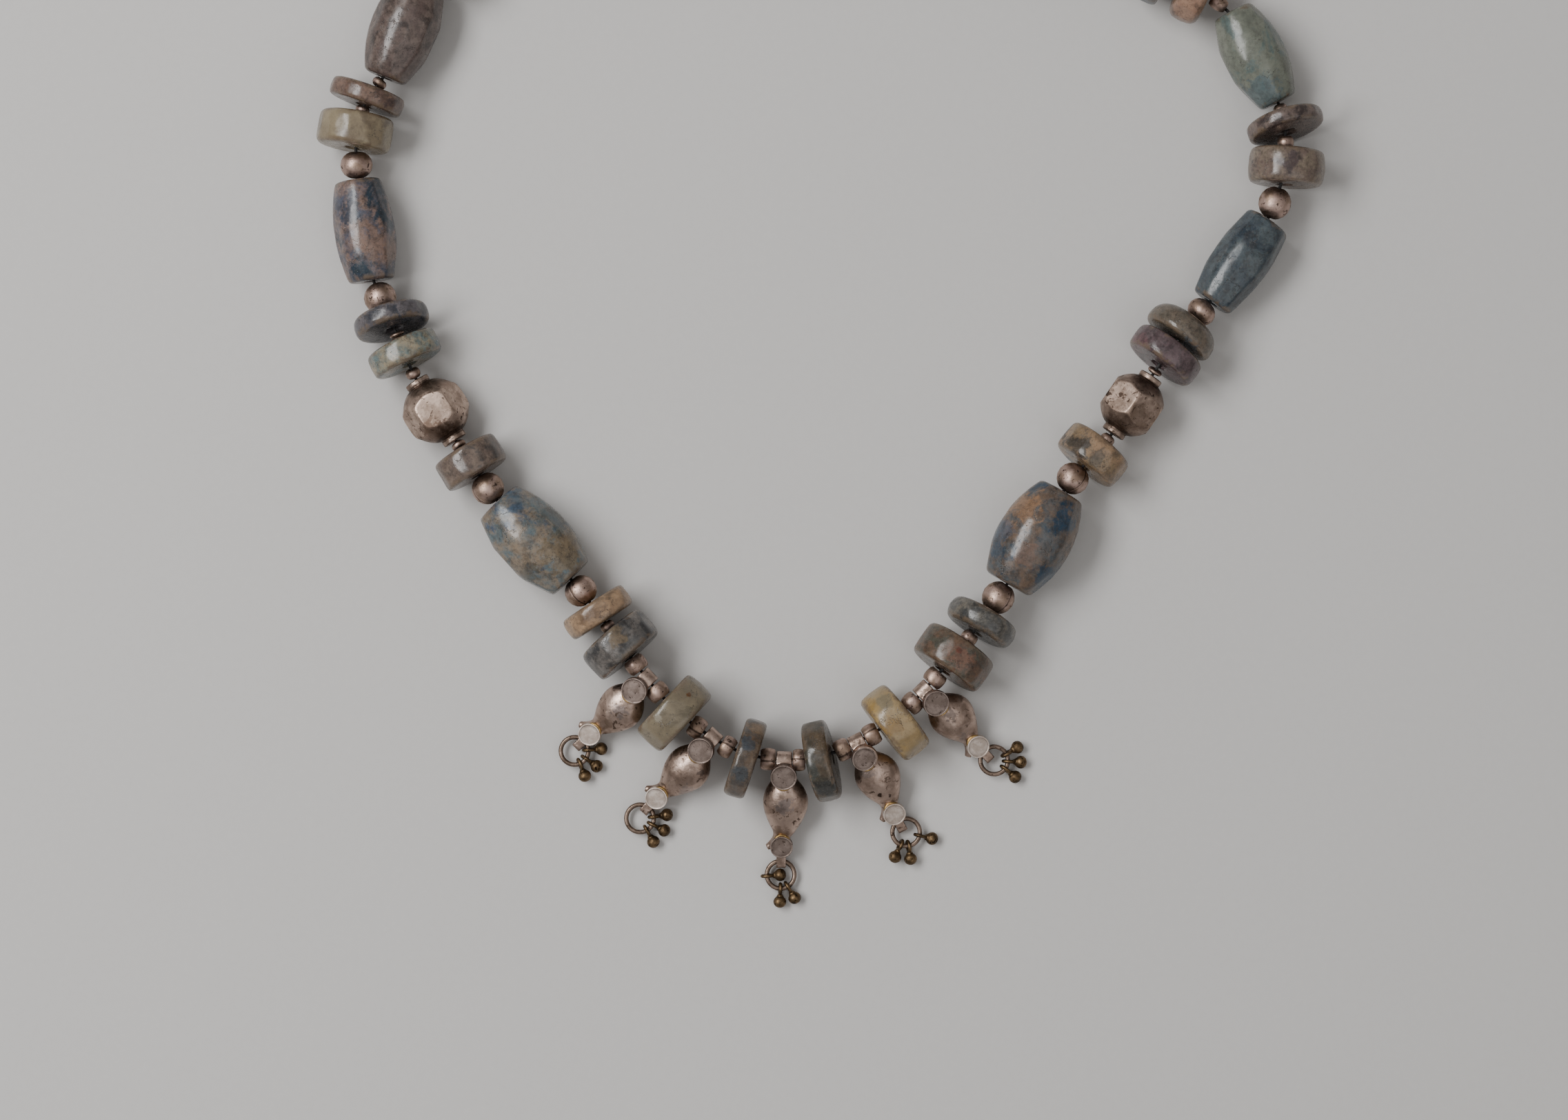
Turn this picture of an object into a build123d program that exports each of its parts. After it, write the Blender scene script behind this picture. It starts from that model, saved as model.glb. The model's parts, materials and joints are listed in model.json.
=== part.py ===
from build123d import *
from math import asin, atan2, cos, degrees, hypot, pi, radians, sin, tan
from typing import NamedTuple
import os

# Necklace of mottled stone barrels and discs and silver beads on one black thread, laid flat as
# a closed loop. Five silver mango drops fan out at the front, each with a ring of three bells.
# Millimetres. +Z is up from the table and -Y is the front. Every bead is cut upright, with its
# bore along +Z, and is then set on the string, which is followed counter-clockwise.

# Stones
DISC_GIRTH = 14.8
DISC_LENGTH = 5.6
BARREL_GIRTH = 13.0
BARREL_LENGTH = 20.0
STONE_BORE = 2.8
STONE_EDGE = 0.8

# Silver beads
ROUND_GIRTH = 6.3
ROUND_LENGTH = 5.9
SPACER_GIRTH = 4.3
SPACER_LENGTH = 2.9
SEED_GIRTH = 2.9
SEED_LENGTH = 1.7
METAL_BORE = 1.4
METAL_EDGE = 0.2
EDGE_LIMIT = 0.42     # most of a bead's length or end radius that its edge rounding may take

# Faceted silver beads: six flats round the bore, sloping shoulders, a grooved collar at each end
FACETED_GIRTH = 12.6
FLAT_LENGTH = 5.0
SHOULDER_LENGTH = 3.1
SHOULDER_SWELL = 0.45
FLAT_COUNT = 6
COLLAR_GIRTH = 4.9
COLLAR_LENGTH = 1.3
COLLAR_GROOVE = 0.3

# Clasp: a plain barrel with a blind hole in each end that holds an end of the thread
CLASP_GIRTH = 7.0
CLASP_LENGTH = 15.0
CLASP_HOLE_DEPTH = 4.0
CLASP_EDGE = 2.2

# Thread
THREAD_GIRTH = 0.6
THREAD_END_GAP = 0.3
STRING_GAP = 0.135
ARC_SHARE = 0.45
LAYINGS = 3

# Drops: a bail, a hollow-cast mango body with a coin on its head and its tail, and a lug
BAIL_GIRTH = 3.9
BAIL_LENGTH = 3.0
BAIL_BORE = 2.1
BAIL_LAG = 0.35
BODY_LENGTH = 16.4
BODY_WIDTH = 8.6
BODY_DEPTH = 6.0
HEAD_COIN_GIRTH = 4.95
HEAD_COIN_DROP = 2.1
HEAD_COIN_FACE = 3.2
HEAD_NECK_GIRTH = 3.0
TAIL_COIN_GIRTH = 4.3
TAIL_COIN_DROP = 15.6
TAIL_COIN_FACE = 2.0
COIN_LENGTH = 1.3
COIN_EDGE = 0.2
LUG_WIDTH = 1.9
LUG_HEIGHT = 1.85
LUG_WALL = 0.22
LUG_TIP = 0.4
LUG_REACH = 1.7
LUG_TRAVEL = 0.55
LUG_CLEARANCE = 0.3
LUG_ROUNDING = 0.55
SLOT_DROP = 18.55

# Jump rings and bells
RING_GIRTH = 6.2
RING_WIRE = 0.9
RING_HEIGHT = 1.55
BELL_GIRTH = 2.5
BELL_LOOP = 2.7
BELL_WIRE = 0.7
BELL_SINK = 0.2
LINK_GAP = 0.1

# Rows of the mango body: how far down it lies, how far it swerves to the side and turns after
# the tail, and how wide and deep it is there, as shares of the body's own sizes
MANGO_SECTIONS = [
    # down, side, turn, width, depth
    (0.06, 0.00, 0, 0.24, 0.40),
    (0.135, 0.01, 0, 0.38, 0.58),
    (0.24, 0.04, 0, 0.66, 0.82),
    (0.44, 0.06, 0, 1.00, 1.00),
    (0.60, 0.06, 0, 0.90, 0.90),
    (0.75, 0.04, 4, 0.62, 0.62),
    (0.86, -0.02, 22, 0.38, 0.42),
    (0.94, -0.15, 42, 0.24, 0.30),
    (1.00, -0.32, 60, 0.15, 0.20),
]


class Form(NamedTuple):
    girth: float
    length: float
    bore: float
    end: float       # diameter of each end face, as a share of the girth
    edge: float      # rounding of the end edges


class Bead(NamedTuple):
    name: str
    form: str
    girth: float = 1.0     # shares of the form's girth and length
    length: float = 1.0
    swing: float = 0.0     # degrees that the bore turns off the string, seen from above
    lean: float = 0.0      # degrees that the bore rises towards its far end
    near: float = 1.0      # shares of the form's end face, where the string enters and leaves
    far: float = 1.0
    soft: float = 1.0      # share of the form's edge rounding
    roll: float = 0.0      # degrees that it is turned on its bore


FORMS = {
    "disc": Form(DISC_GIRTH, DISC_LENGTH, STONE_BORE, 0.95, STONE_EDGE),
    "barrel": Form(BARREL_GIRTH, BARREL_LENGTH, STONE_BORE, 0.68, STONE_EDGE),
    "round": Form(ROUND_GIRTH, ROUND_LENGTH, METAL_BORE, 0.36, METAL_EDGE),
    "spacer": Form(SPACER_GIRTH, SPACER_LENGTH, METAL_BORE, 0.86, METAL_EDGE),
    "seed": Form(SEED_GIRTH, SEED_LENGTH, METAL_BORE, 0.80, METAL_EDGE),
    "bail": Form(BAIL_GIRTH, BAIL_LENGTH, BAIL_BORE, 1.00, METAL_EDGE),
    "faceted": Form(FACETED_GIRTH, FLAT_LENGTH + 2 * (SHOULDER_LENGTH + COLLAR_LENGTH),
                    METAL_BORE, COLLAR_GIRTH / FACETED_GIRTH, METAL_EDGE),
    "clasp": Form(CLASP_GIRTH, CLASP_LENGTH, METAL_BORE, 0.45, CLASP_EDGE),
}
MAIN_FORMS = ("disc", "barrel", "faceted", "clasp")
LONG_FORMS = ("barrel", "faceted", "clasp")

# The string from the middle drop round to the right, over the back and down the left side
STRING = [
    Bead("mango_drop_3", "bail"),
    Bead("drop_spacers", "spacer", length=0.85),
    Bead("disc_right_1", "disc", 1.07, 0.82, 1.5, lean=6),
    Bead("drop_spacers", "spacer"),
    Bead("mango_drop_4", "bail"),
    Bead("drop_spacers", "spacer"),
    Bead("disc_right_2", "disc", 1.01, 1.09, 2.5, lean=-3),
    Bead("drop_spacers", "spacer"),
    Bead("mango_drop_5", "bail", swing=-4),
    Bead("drop_spacers", "spacer"),
    Bead("disc_right_3", "disc", 1.02, 1.18, 1.5, lean=-8),
    Bead("seed_beads", "seed", 1.15, 1.35),
    Bead("disc_right_4", "disc", 0.96, 0.82, 6.5, lean=-8, near=0.9, far=0.9, soft=1.8),
    Bead("round_beads", "round"),
    Bead("barrel_right_1", "barrel", 1.12, 1.025, 0.5, near=0.95, far=0.88),
    Bead("round_beads", "round", length=0.94),
    Bead("disc_right_5", "disc", 0.93, 1.04, lean=-6),
    Bead("seed_beads", "seed"),
    Bead("faceted_bead_right", "faceted", 0.97, swing=1),
    Bead("seed_beads", "seed", length=0.5),
    Bead("disc_right_6", "disc", 0.98, 0.84, -4, lean=-7),
    Bead("seed_beads", "seed", length=0.35),
    Bead("bun_stone_right", "disc", 0.95, 0.90, lean=-7, near=1.02, far=0.64, soft=1.2),
    Bead("round_beads", "round", 0.9, 0.7),
    Bead("barrel_right_2", "barrel", 0.85, 0.95, 4, near=1.09, far=1.18),
    Bead("round_beads", "round"),
    Bead("disc_right_7", "disc", 1.00, 1.20, 2, lean=-2, near=0.96, far=0.96),
    Bead("seed_beads", "seed", 1.1, 1.3),
    Bead("disc_right_8", "disc", 1.01, 0.54, 4.5, lean=-13),
    Bead("seed_beads", "seed", length=1.3),
    Bead("barrel_right_3", "barrel", 0.92, 0.975, -4.5, near=0.86, far=0.94),
    Bead("seed_beads", "seed", length=1.9),
    Bead("disc_right_9", "disc", 0.92, 1.07, 12.5, soft=2.5),
    Bead("seed_beads", "seed"),
    Bead("disc_back_1", "disc"),
    Bead("round_beads", "round"),
    Bead("barrel_back_1", "barrel", length=0.845),
    Bead("round_beads", "round"),
    Bead("disc_back_2", "disc", 1.0, 1.1),
    Bead("seed_beads", "seed"),
    Bead("disc_back_3", "disc", 0.95, 0.8),
    Bead("round_beads", "round"),
    Bead("barrel_clasp", "clasp"),
    Bead("round_beads", "round"),
    Bead("barrel_back_2", "barrel", length=0.845),
    Bead("round_beads", "round"),
    Bead("disc_back_4", "disc", 0.95, 0.8),
    Bead("seed_beads", "seed"),
    Bead("disc_back_5", "disc", 1.0, 1.1),
    Bead("round_beads", "round"),
    Bead("barrel_back_3", "barrel", length=0.845),
    Bead("round_beads", "round"),
    Bead("disc_left_10", "disc", 1.00, 1.16, -3),
    Bead("seed_beads", "seed", length=0.75),
    Bead("barrel_left_3", "barrel", 1.00, 1.025, 2.5, near=0.91, far=0.91),
    Bead("seed_beads", "seed", length=0.9),
    Bead("disc_left_9", "disc", 0.99, 0.64, 5.5, lean=2),
    Bead("seed_beads", "seed", 0.95, 0.8),
    Bead("disc_left_8", "disc", 0.985, 1.16, 3.5, lean=4, soft=1.4),
    Bead("round_beads", "round", 0.98, 0.85),
    Bead("barrel_left_2", "barrel", 0.90, 0.975, -7, near=1.07, far=1.10),
    Bead("round_beads", "round", length=0.93),
    Bead("disc_left_7", "disc", 0.99, 0.64, -2.5, lean=14, soft=1.3),
    Bead("seed_beads", "seed", length=0.45),
    Bead("seed_beads", "seed", length=0.45),
    Bead("disc_left_6", "disc", 0.96, 0.84, 2, lean=4),
    Bead("seed_beads", "seed"),
    Bead("faceted_bead_left", "faceted", swing=1.5, roll=180 / FLAT_COUNT),
    Bead("seed_beads", "seed", length=0.75),
    Bead("disc_left_5", "disc", 0.90, 1.05, -5.5, lean=3),
    Bead("round_beads", "round", length=0.95),
    Bead("barrel_left_1", "barrel", 1.09, 1.01, 1.5, near=0.98, far=0.98),
    Bead("round_beads", "round", length=0.92),
    Bead("disc_left_4", "disc", 0.94, 0.79, -3.5),
    Bead("seed_beads", "seed"),
    Bead("disc_left_3", "disc", 1.00, 1.12, 6, lean=4),
    Bead("drop_spacers", "spacer"),
    Bead("mango_drop_1", "bail", swing=6),
    Bead("drop_spacers", "spacer"),
    Bead("disc_left_2", "disc", 1.035, 1.14, 2),
    Bead("drop_spacers", "spacer"),
    Bead("mango_drop_2", "bail", swing=-10),
    Bead("drop_spacers", "spacer", length=0.9),
    Bead("disc_left_1", "disc", 1.055, 0.75, -1.5),
    Bead("drop_spacers", "spacer"),
]

# Points that the string lies over on the table, counter-clockwise from the middle drop
ROUTE_POINTS = [
    (0.0, -37.9), (6.8, -37.3), (13.7, -35.0), (20.3, -30.5), (26.6, -25.4), (31.3, -18.6),
    (36.5, -12.1), (46.7, 3.9), (54.1, 15.2), (65.1, 29.0), (74.5, 43.0), (85.3, 55.9),
    (92.4, 66.5), (94.5, 80.9), (89.5, 94.1), (78.6, 107.1),
    (57.0, 118.0), (28.0, 129.0), (0.0, 134.0), (-28.0, 132.0), (-50.0, 124.0),
    (-65.5, 112.5), (-72.4, 98.7), (-79.2, 85.9), (-81.3, 76.5), (-78.7, 61.3),
    (-71.1, 38.7), (-58.8, 18.6), (-46.7, 3.8), (-38.0, -5.6), (-30.3, -16.1),
    (-20.0, -28.9), (-7.0, -36.9),
]


class Hanging(NamedTuple):
    stretch: float         # the drop's length below its head coin, against that of a plain one
    slip: float            # how far the ring has slid in the lug's slot, as a share of its travel
    turn: float            # degrees that the ring lies off the drop's line
    bells: tuple           # degrees round the ring from the drop's line, for bells outside it
    inner_bells: tuple = ()


HANGINGS = {
    "mango_drop_1": Hanging(0.99, -0.8, 6, (140, 101, 68)),
    "mango_drop_2": Hanging(1.02, 0.5, 8, (140, 106, 72)),
    "mango_drop_3": Hanging(1.08, 0.8, 0, (0, 33), (-84,)),
    "mango_drop_4": Hanging(1.00, -1.0, 8, (49, -18, -52)),
    "mango_drop_5": Hanging(0.965, -1.0, 8, (75, 42, 8)),
}


def size_of(bead):
    """Girth and length of a bead in millimetres."""
    form = FORMS[bead.form]
    return bead.girth * form.girth, bead.length * form.length


def end_girth(bead, share):
    """Diameter of one end face of a bead."""
    return share * FORMS[bead.form].end * size_of(bead)[0]


def turned_bead(bead):
    """A round bead turned about its bore, with a bulging side and rounded end edges."""
    girth, length = size_of(bead)
    form = FORMS[bead.form]
    near, far = end_girth(bead, bead.near) / 2, end_girth(bead, bead.far) / 2
    low, high = -length / 2, length / 2
    with BuildPart() as turned:
        with BuildSketch(Plane.XZ) as half:
            with BuildLine():
                Line((form.bore / 2, low), (near, low))
                ThreePointArc((near, low), (girth / 2, 0), (far, high))
                Line((far, high), (form.bore / 2, high))
                Line((form.bore / 2, high), (form.bore / 2, low))
            make_face()
            rims = half.vertices().sort_by(Axis.X)[-2:]
            rounding = min(form.edge * bead.soft, EDGE_LIMIT * length, EDGE_LIMIT * min(near, far))
            fillet(rims, radius=rounding)
        revolve(axis=Axis.Z)
    return turned.part


def faceted_bead(bead):
    """A hollow silver bead with flats round its bore and a grooved collar soldered to each end."""
    girth, length = size_of(bead)
    k = bead.girth
    corner, collar = girth / 2, k * COLLAR_GIRTH / 2
    flat_end = k * FLAT_LENGTH / 2
    shoulder_end = flat_end + k * SHOULDER_LENGTH
    tip = shoulder_end + k * COLLAR_LENGTH
    middle = ((corner + collar) / 2, (flat_end + shoulder_end) / 2)
    slope = hypot(corner - collar, shoulder_end - flat_end)
    swell = (k * SHOULDER_SWELL * (shoulder_end - flat_end) / slope,
             k * SHOULDER_SWELL * (corner - collar) / slope)
    bulge = (middle[0] + swell[0], middle[1] + swell[1])
    with BuildPart() as bead_part:
        with BuildSketch(Plane.XZ):
            with BuildLine():
                Polyline((0, -shoulder_end), (0, shoulder_end), (collar, shoulder_end))
                ThreePointArc((collar, shoulder_end), bulge, (corner, flat_end))
                Line((corner, flat_end), (corner, -flat_end))
                ThreePointArc((corner, -flat_end), (bulge[0], -bulge[1]), (collar, -shoulder_end))
                Line((collar, -shoulder_end), (0, -shoulder_end))
            make_face()
        revolve(axis=Axis.Z)
        with BuildSketch(Plane.XY):
            RegularPolygon(radius=corner, side_count=FLAT_COUNT)
        extrude(amount=shoulder_end, both=True, mode=Mode.INTERSECT)
        with BuildSketch(Plane.XY):
            Circle(collar)
        extrude(amount=tip, both=True)
        grooves = [Plane.XY.offset(side * (shoulder_end + k * COLLAR_LENGTH / 2)) for side in (-1, 1)]
        with BuildSketch(*grooves):
            Circle(collar)
            Circle(collar - k * COLLAR_GROOVE / 2, mode=Mode.SUBTRACT)
        extrude(amount=k * COLLAR_GROOVE / 2, both=True, mode=Mode.SUBTRACT)
        Cylinder(METAL_BORE / 2, 2 * tip, mode=Mode.SUBTRACT)
    return bead_part.part


def clasp(bead):
    """A plain barrel with rounded ends and a blind thread hole in each."""
    girth, length = size_of(bead)
    with BuildPart() as barrel:
        Cylinder(girth / 2, length)
        fillet(barrel.edges().filter_by(GeomType.CIRCLE), radius=CLASP_EDGE)
        for side in (Axis.Z, -Axis.Z):
            with Locations(barrel.faces().sort_by(side)[-1]):
                Hole(METAL_BORE / 2, depth=CLASP_HOLE_DEPTH)
    return barrel.part


MAKERS = {"faceted": faceted_bead, "clasp": clasp}


def make_bead(bead):
    return MAKERS.get(bead.form, turned_bead)(bead)


def level(heading):
    """Level direction at a compass angle."""
    return Vector(cos(radians(heading)), sin(radians(heading)), 0)


def heading_of(direction):
    """Compass angle of a direction seen from above, from +X towards +Y."""
    return degrees(atan2(direction.Y, direction.X))


def bore_plane(middle, heading, lean=0.0, roll=0.0):
    """Plane square to a bore that points along the heading and rises by the lean, X side up."""
    rise = Vector(0, 0, 1)
    ahead = level(heading) * cos(radians(lean)) + rise * sin(radians(lean))
    up = rise * cos(radians(lean)) - level(heading) * sin(radians(lean))
    turned = up * cos(radians(roll)) + ahead.cross(up) * sin(radians(roll))
    return Plane(middle, x_dir=turned, z_dir=ahead)


def gap_between(first, second, tilt):
    """Bare thread between two neighbours, with room for the tilt between their end faces."""
    contact = min(end_girth(first, first.far), end_girth(second, second.near)) / 2
    if "bail" in (first.form, second.form):
        contact += BAIL_LAG
    turning = sum(size_of(bead)[1] / 2 for bead in (first, second) if bead.form not in LONG_FORMS)
    wedge = contact * tan(radians(tilt)) + turning * (1 / cos(radians(tilt)) - 1)
    return STRING_GAP + wedge


def string_stations(tilts):
    """Distance along the string to the middle of each bead, then the whole length."""
    stations = [0.0]
    for first, second, tilt in zip(STRING, STRING[1:] + STRING[:1], tilts):
        step = (size_of(first)[1] + size_of(second)[1]) / 2 + gap_between(first, second, tilt)
        stations.append(stations[-1] + step)
    return stations[:-1], stations[-1]


class Seat(NamedTuple):
    solid: Part
    station: float     # along the string
    middle: Vector
    ahead: Vector      # direction of the bore
    reach: float       # from the middle to each point where the thread may turn


def set_down(bead, upright, station, route, scale):
    """Lay a main bead on the table, over its station on the route."""
    spot = route.position_at(station / scale, PositionMode.LENGTH) * scale
    tangent = route.tangent_at(station / scale, PositionMode.LENGTH)
    plane = bore_plane(spot, heading_of(tangent) + bead.swing, bead.lean, bead.roll)
    turned = upright.moved(plane.location)
    rise = Vector(0, 0, -turned.bounding_box().min.Z)
    reach = size_of(bead)[1] / 2 if bead.form in LONG_FORMS else 0.0
    return Seat(turned.moved(Location(rise)), station, spot + rise, plane.z_dir, reach)


def bore_directions(seats, stations, total):
    """Direction of every bore on the string."""
    found = []
    for index, bead in enumerate(STRING):
        if index in seats:
            found.append(seats[index].ahead)
            continue
        ahead = hang_on_thread(index, seats, stations, total)[1]
        found.append(level(heading_of(ahead) + bead.swing) if bead.form == "bail" else ahead)
    return found


def string_on_route():
    """Seat of every main bead, by its place in the string, on the route scaled to the string.

    The string is laid a few times, because its gaps follow the tilts between its beads.
    """
    with BuildLine() as plan:
        Spline(*ROUTE_POINTS, periodic=True)
    route = plan.edges()[0]
    upright = {i: make_bead(bead) for i, bead in enumerate(STRING) if bead.form in MAIN_FORMS}
    tilts = [0.0] * len(STRING)
    for _ in range(LAYINGS):
        stations, total = string_stations(tilts)
        scale = total / route.length
        seats = {i: set_down(STRING[i], solid, stations[i], route, scale)
                 for i, solid in upright.items()}
        ahead = bore_directions(seats, stations, total)
        tilts = [first.get_angle(second) for first, second in zip(ahead, ahead[1:] + ahead[:1])]
    print(f"string {total:.1f} mm, drawn route {route.length:.1f} mm")
    return seats, stations, total


def hang_on_thread(index, seats, stations, total):
    """Middle and direction of a small bead on the straight thread between two main beads."""
    count = len(STRING)
    before = next(i for i in range(index - 1, index - count, -1) if i % count in seats)
    after = next(i for i in range(index + 1, index + count) if i % count in seats)
    last, following = seats[before % count], seats[after % count]
    start = last.station + last.reach - (total if before < 0 else 0.0)
    stop = following.station - following.reach + (total if after >= count else 0.0)
    leaving = last.middle + last.ahead * last.reach
    entering = following.middle - following.ahead * following.reach
    share = (stations[index] - start) / (stop - start)
    return leaving + (entering - leaving) * share, (entering - leaving).normalized()


def thread_points(seats):
    """Turning points of the thread, from one end of it in the clasp round to the other."""
    order = sorted(seats)
    clasp_at = next(i for i in order if STRING[i].form == "clasp")
    turn = order.index(clasp_at)
    order = order[turn + 1:] + order[:turn]
    held = seats[clasp_at]
    inside = held.reach - CLASP_HOLE_DEPTH + THREAD_END_GAP
    points = [held.middle + held.ahead * inside, held.middle + held.ahead * held.reach]
    for i in order:
        seat = seats[i]
        if seat.reach:
            points += [seat.middle - seat.ahead * seat.reach, seat.middle + seat.ahead * seat.reach]
        else:
            points.append(seat.middle)
    points += [held.middle - held.ahead * held.reach, held.middle - held.ahead * inside]
    return points


def corner_radii(points):
    """Radius of the tangent arc at each turning point, as large as its two runs allow."""
    radii = []
    for before, corner, after in zip(points, points[1:], points[2:]):
        turn = radians((corner - before).get_angle(after - corner))
        run = min((corner - before).length, (after - corner).length)
        radii.append(ARC_SHARE * run / tan(turn / 2))
    return radii


def thread(points):
    """The black thread: a round tube along straight runs joined by tangent arcs."""
    radii = corner_radii(points)
    with BuildPart() as strand:
        with BuildLine() as path:
            FilletPolyline(*points, radius=radii)
        with BuildSketch(Plane(path.line @ 0, z_dir=path.line % 0)):
            Circle(THREAD_GIRTH / 2)
        sweep()
    length = sum(edge.length for edge in path.edges())
    tube = length * pi * THREAD_GIRTH**2 / 4
    print(f"thread {length:.1f} mm, volume {strand.part.volume:.2f}, tube {tube:.2f}")
    print("thread radii", " ".join(f"{radius:.0f}" for radius in radii))
    return strand.part


def coin(girth):
    """A silver coin with rounded rims, its face on the XY plane."""
    with BuildPart() as piece:
        Cylinder(girth / 2, COIN_LENGTH, align=(Align.CENTER, Align.CENTER, Align.MAX))
        fillet(piece.edges().filter_by(GeomType.CIRCLE), radius=COIN_EDGE)
    return piece.part


def mango_drop(stretch):
    """A silver drop with its bail along X, its body hanging towards -Y and its front at +Z."""
    body_length, tail_drop = stretch * BODY_LENGTH, stretch * TAIL_COIN_DROP
    slot_drop = stretch * SLOT_DROP
    head_coin = coin(HEAD_COIN_GIRTH)
    tail_coin = coin(TAIL_COIN_GIRTH)
    slot_reach = LUG_TRAVEL + RING_WIRE / 2 + LUG_CLEARANCE
    lug_tip = slot_drop + slot_reach + LUG_TIP
    lug_length = 2 * slot_reach + LUG_TIP + LUG_REACH
    with BuildPart() as drop:
        for down, side, turn, width, depth in MANGO_SECTIONS:
            along = (-sin(radians(turn)), -cos(radians(turn)), 0)
            across = (cos(radians(turn)), -sin(radians(turn)), 0)
            with BuildSketch(Plane((side * BODY_WIDTH, -down * body_length, 0), across, along)):
                Ellipse(width * BODY_WIDTH / 2, depth * BODY_DEPTH / 2)
        loft()
        with BuildSketch(Plane.YZ):
            Circle(BAIL_GIRTH / 2)
        extrude(amount=BAIL_LENGTH / 2, both=True)
        with BuildSketch(Plane.XY):
            with Locations((0, -HEAD_COIN_DROP)):
                Circle(HEAD_NECK_GIRTH / 2)
        extrude(amount=HEAD_COIN_FACE - COIN_LENGTH / 2)
        with Locations((0, -HEAD_COIN_DROP, HEAD_COIN_FACE)):
            add(head_coin)
        with Locations((0, -tail_drop, TAIL_COIN_FACE)):
            add(tail_coin)
        with BuildSketch(Plane.YZ):
            with Locations((lug_length / 2 - lug_tip, 0)):
                Rectangle(lug_length, LUG_HEIGHT)
        extrude(amount=LUG_WIDTH / 2, both=True)
        lug_end = drop.edges().filter_by(Axis.X).group_by(Axis.Y)[0]
        fillet(lug_end, radius=LUG_ROUNDING)
        with BuildSketch(Plane.YZ):
            with Locations((-slot_drop, 0)):
                Rectangle(2 * slot_reach, LUG_HEIGHT - 2 * LUG_WALL)
        extrude(amount=LUG_WIDTH, both=True, mode=Mode.SUBTRACT)
        with BuildSketch(Plane.YZ):
            Circle(BAIL_BORE / 2)
        extrude(amount=BAIL_LENGTH, both=True, mode=Mode.SUBTRACT)
    return drop.part


def jump_ring():
    """A round wire ring lying flat round the origin."""
    with BuildPart() as ring:
        Torus((RING_GIRTH - RING_WIRE) / 2, RING_WIRE / 2)
    return ring.part


def bell():
    """A tiny bell on an upright loop, with the loop round the origin and the ball along +X."""
    with BuildPart() as piece:
        Torus((BELL_LOOP - BELL_WIRE) / 2, BELL_WIRE / 2, rotation=(90, 0, 0))
        with Locations((bell_reach(), 0, 0)):
            Sphere(BELL_GIRTH / 2)
    return piece.part


def bell_reach():
    """From the middle of a bell's loop to the middle of its ball."""
    return (BELL_GIRTH + BELL_LOOP) / 2 - BELL_SINK


def hang_bell(shape, ring_middle, heading, inside):
    """A bell on the ring's wire, its ball on the table outside the ring or in the middle of it."""
    lead = (BELL_LOOP - RING_WIRE) / 2 - BELL_WIRE - LINK_GAP
    wire = (RING_GIRTH - RING_WIRE) / 2
    spot = ring_middle + level(heading) * (wire - lead if inside else wire + lead)
    lean = -degrees(asin((ring_middle.Z - BELL_GIRTH / 2) / bell_reach()))
    facing = heading + 180 if inside else heading
    return shape.moved(Location(spot, (0, -lean, facing)))


def hang_drop(shapes, thread_middle, ahead, bead):
    """A drop on the thread with its ring and bells, lying outward with its lug near the table."""
    ring_shape, bell_shape = shapes
    hanging = HANGINGS[bead.name]
    heading = heading_of(ahead) + bead.swing
    outward = heading - 90
    middle = thread_middle + level(outward) * BAIL_LAG
    slot_drop = hanging.stretch * SLOT_DROP
    slope = asin((middle.Z - RING_HEIGHT) / slot_drop)
    front = level(outward) * sin(slope) + Vector(0, 0, cos(slope))
    seat = Plane(middle, x_dir=level(heading), z_dir=front)
    drop = mango_drop(hanging.stretch).moved(seat.location)
    down = slot_drop + hanging.slip * LUG_TRAVEL
    in_slot = middle + level(outward) * (down * cos(slope)) - Vector(0, 0, down * sin(slope))
    ring_middle = in_slot + level(outward + hanging.turn) * ((RING_GIRTH - RING_WIRE) / 2)
    ring = ring_shape.moved(Location(ring_middle))
    bells = [hang_bell(bell_shape, ring_middle, outward + angle, False) for angle in hanging.bells]
    bells += [hang_bell(bell_shape, ring_middle, outward + angle, True)
              for angle in hanging.inner_bells]
    number = bead.name[-1]
    return {bead.name: [drop], "jump_ring_" + number: [ring], "bells_" + number: bells}


def thread_bead(middle, ahead, bead):
    """A small bead lined up with the thread."""
    lean = degrees(asin(ahead.Z))
    plane = bore_plane(middle, heading_of(ahead), lean)
    return {bead.name: [make_bead(bead).moved(plane.location)]}


def necklace():
    """Every node of the necklace with its solids, on the route as drawn."""
    seats, stations, total = string_on_route()
    shapes = jump_ring(), bell()
    nodes = {}
    for index, bead in enumerate(STRING):
        if index in seats:
            found = {bead.name: [seats[index].solid]}
        elif bead.form == "bail":
            found = hang_drop(shapes, *hang_on_thread(index, seats, stations, total), bead)
        else:
            found = thread_bead(*hang_on_thread(index, seats, stations, total), bead)
        for name, solids in found.items():
            nodes.setdefault(name, []).extend(solids)
    nodes["thread"] = [thread(thread_points(seats))]
    return nodes


def box_bottom(nodes):
    """Middle of the bottom of the box round every node."""
    boxes = [solid.bounding_box() for solids in nodes.values() for solid in solids]
    west, east = min(box.min.X for box in boxes), max(box.max.X for box in boxes)
    south, north = min(box.min.Y for box in boxes), max(box.max.Y for box in boxes)
    return Vector((west + east) / 2, (south + north) / 2, min(box.min.Z for box in boxes))


os.makedirs("parts", exist_ok=True)
NECKLACE = necklace()
ORIGIN = box_bottom(NECKLACE)
print(f"moved by {-ORIGIN.X:.3f}, {-ORIGIN.Y:.3f}, {-ORIGIN.Z:.3f}")
for name, solids in NECKLACE.items():
    with BuildPart() as node:
        add([solid.moved(Location(-ORIGIN)) for solid in solids])
    node.part.label = name
    export_step(node.part, f"parts/{name}.step")
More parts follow.
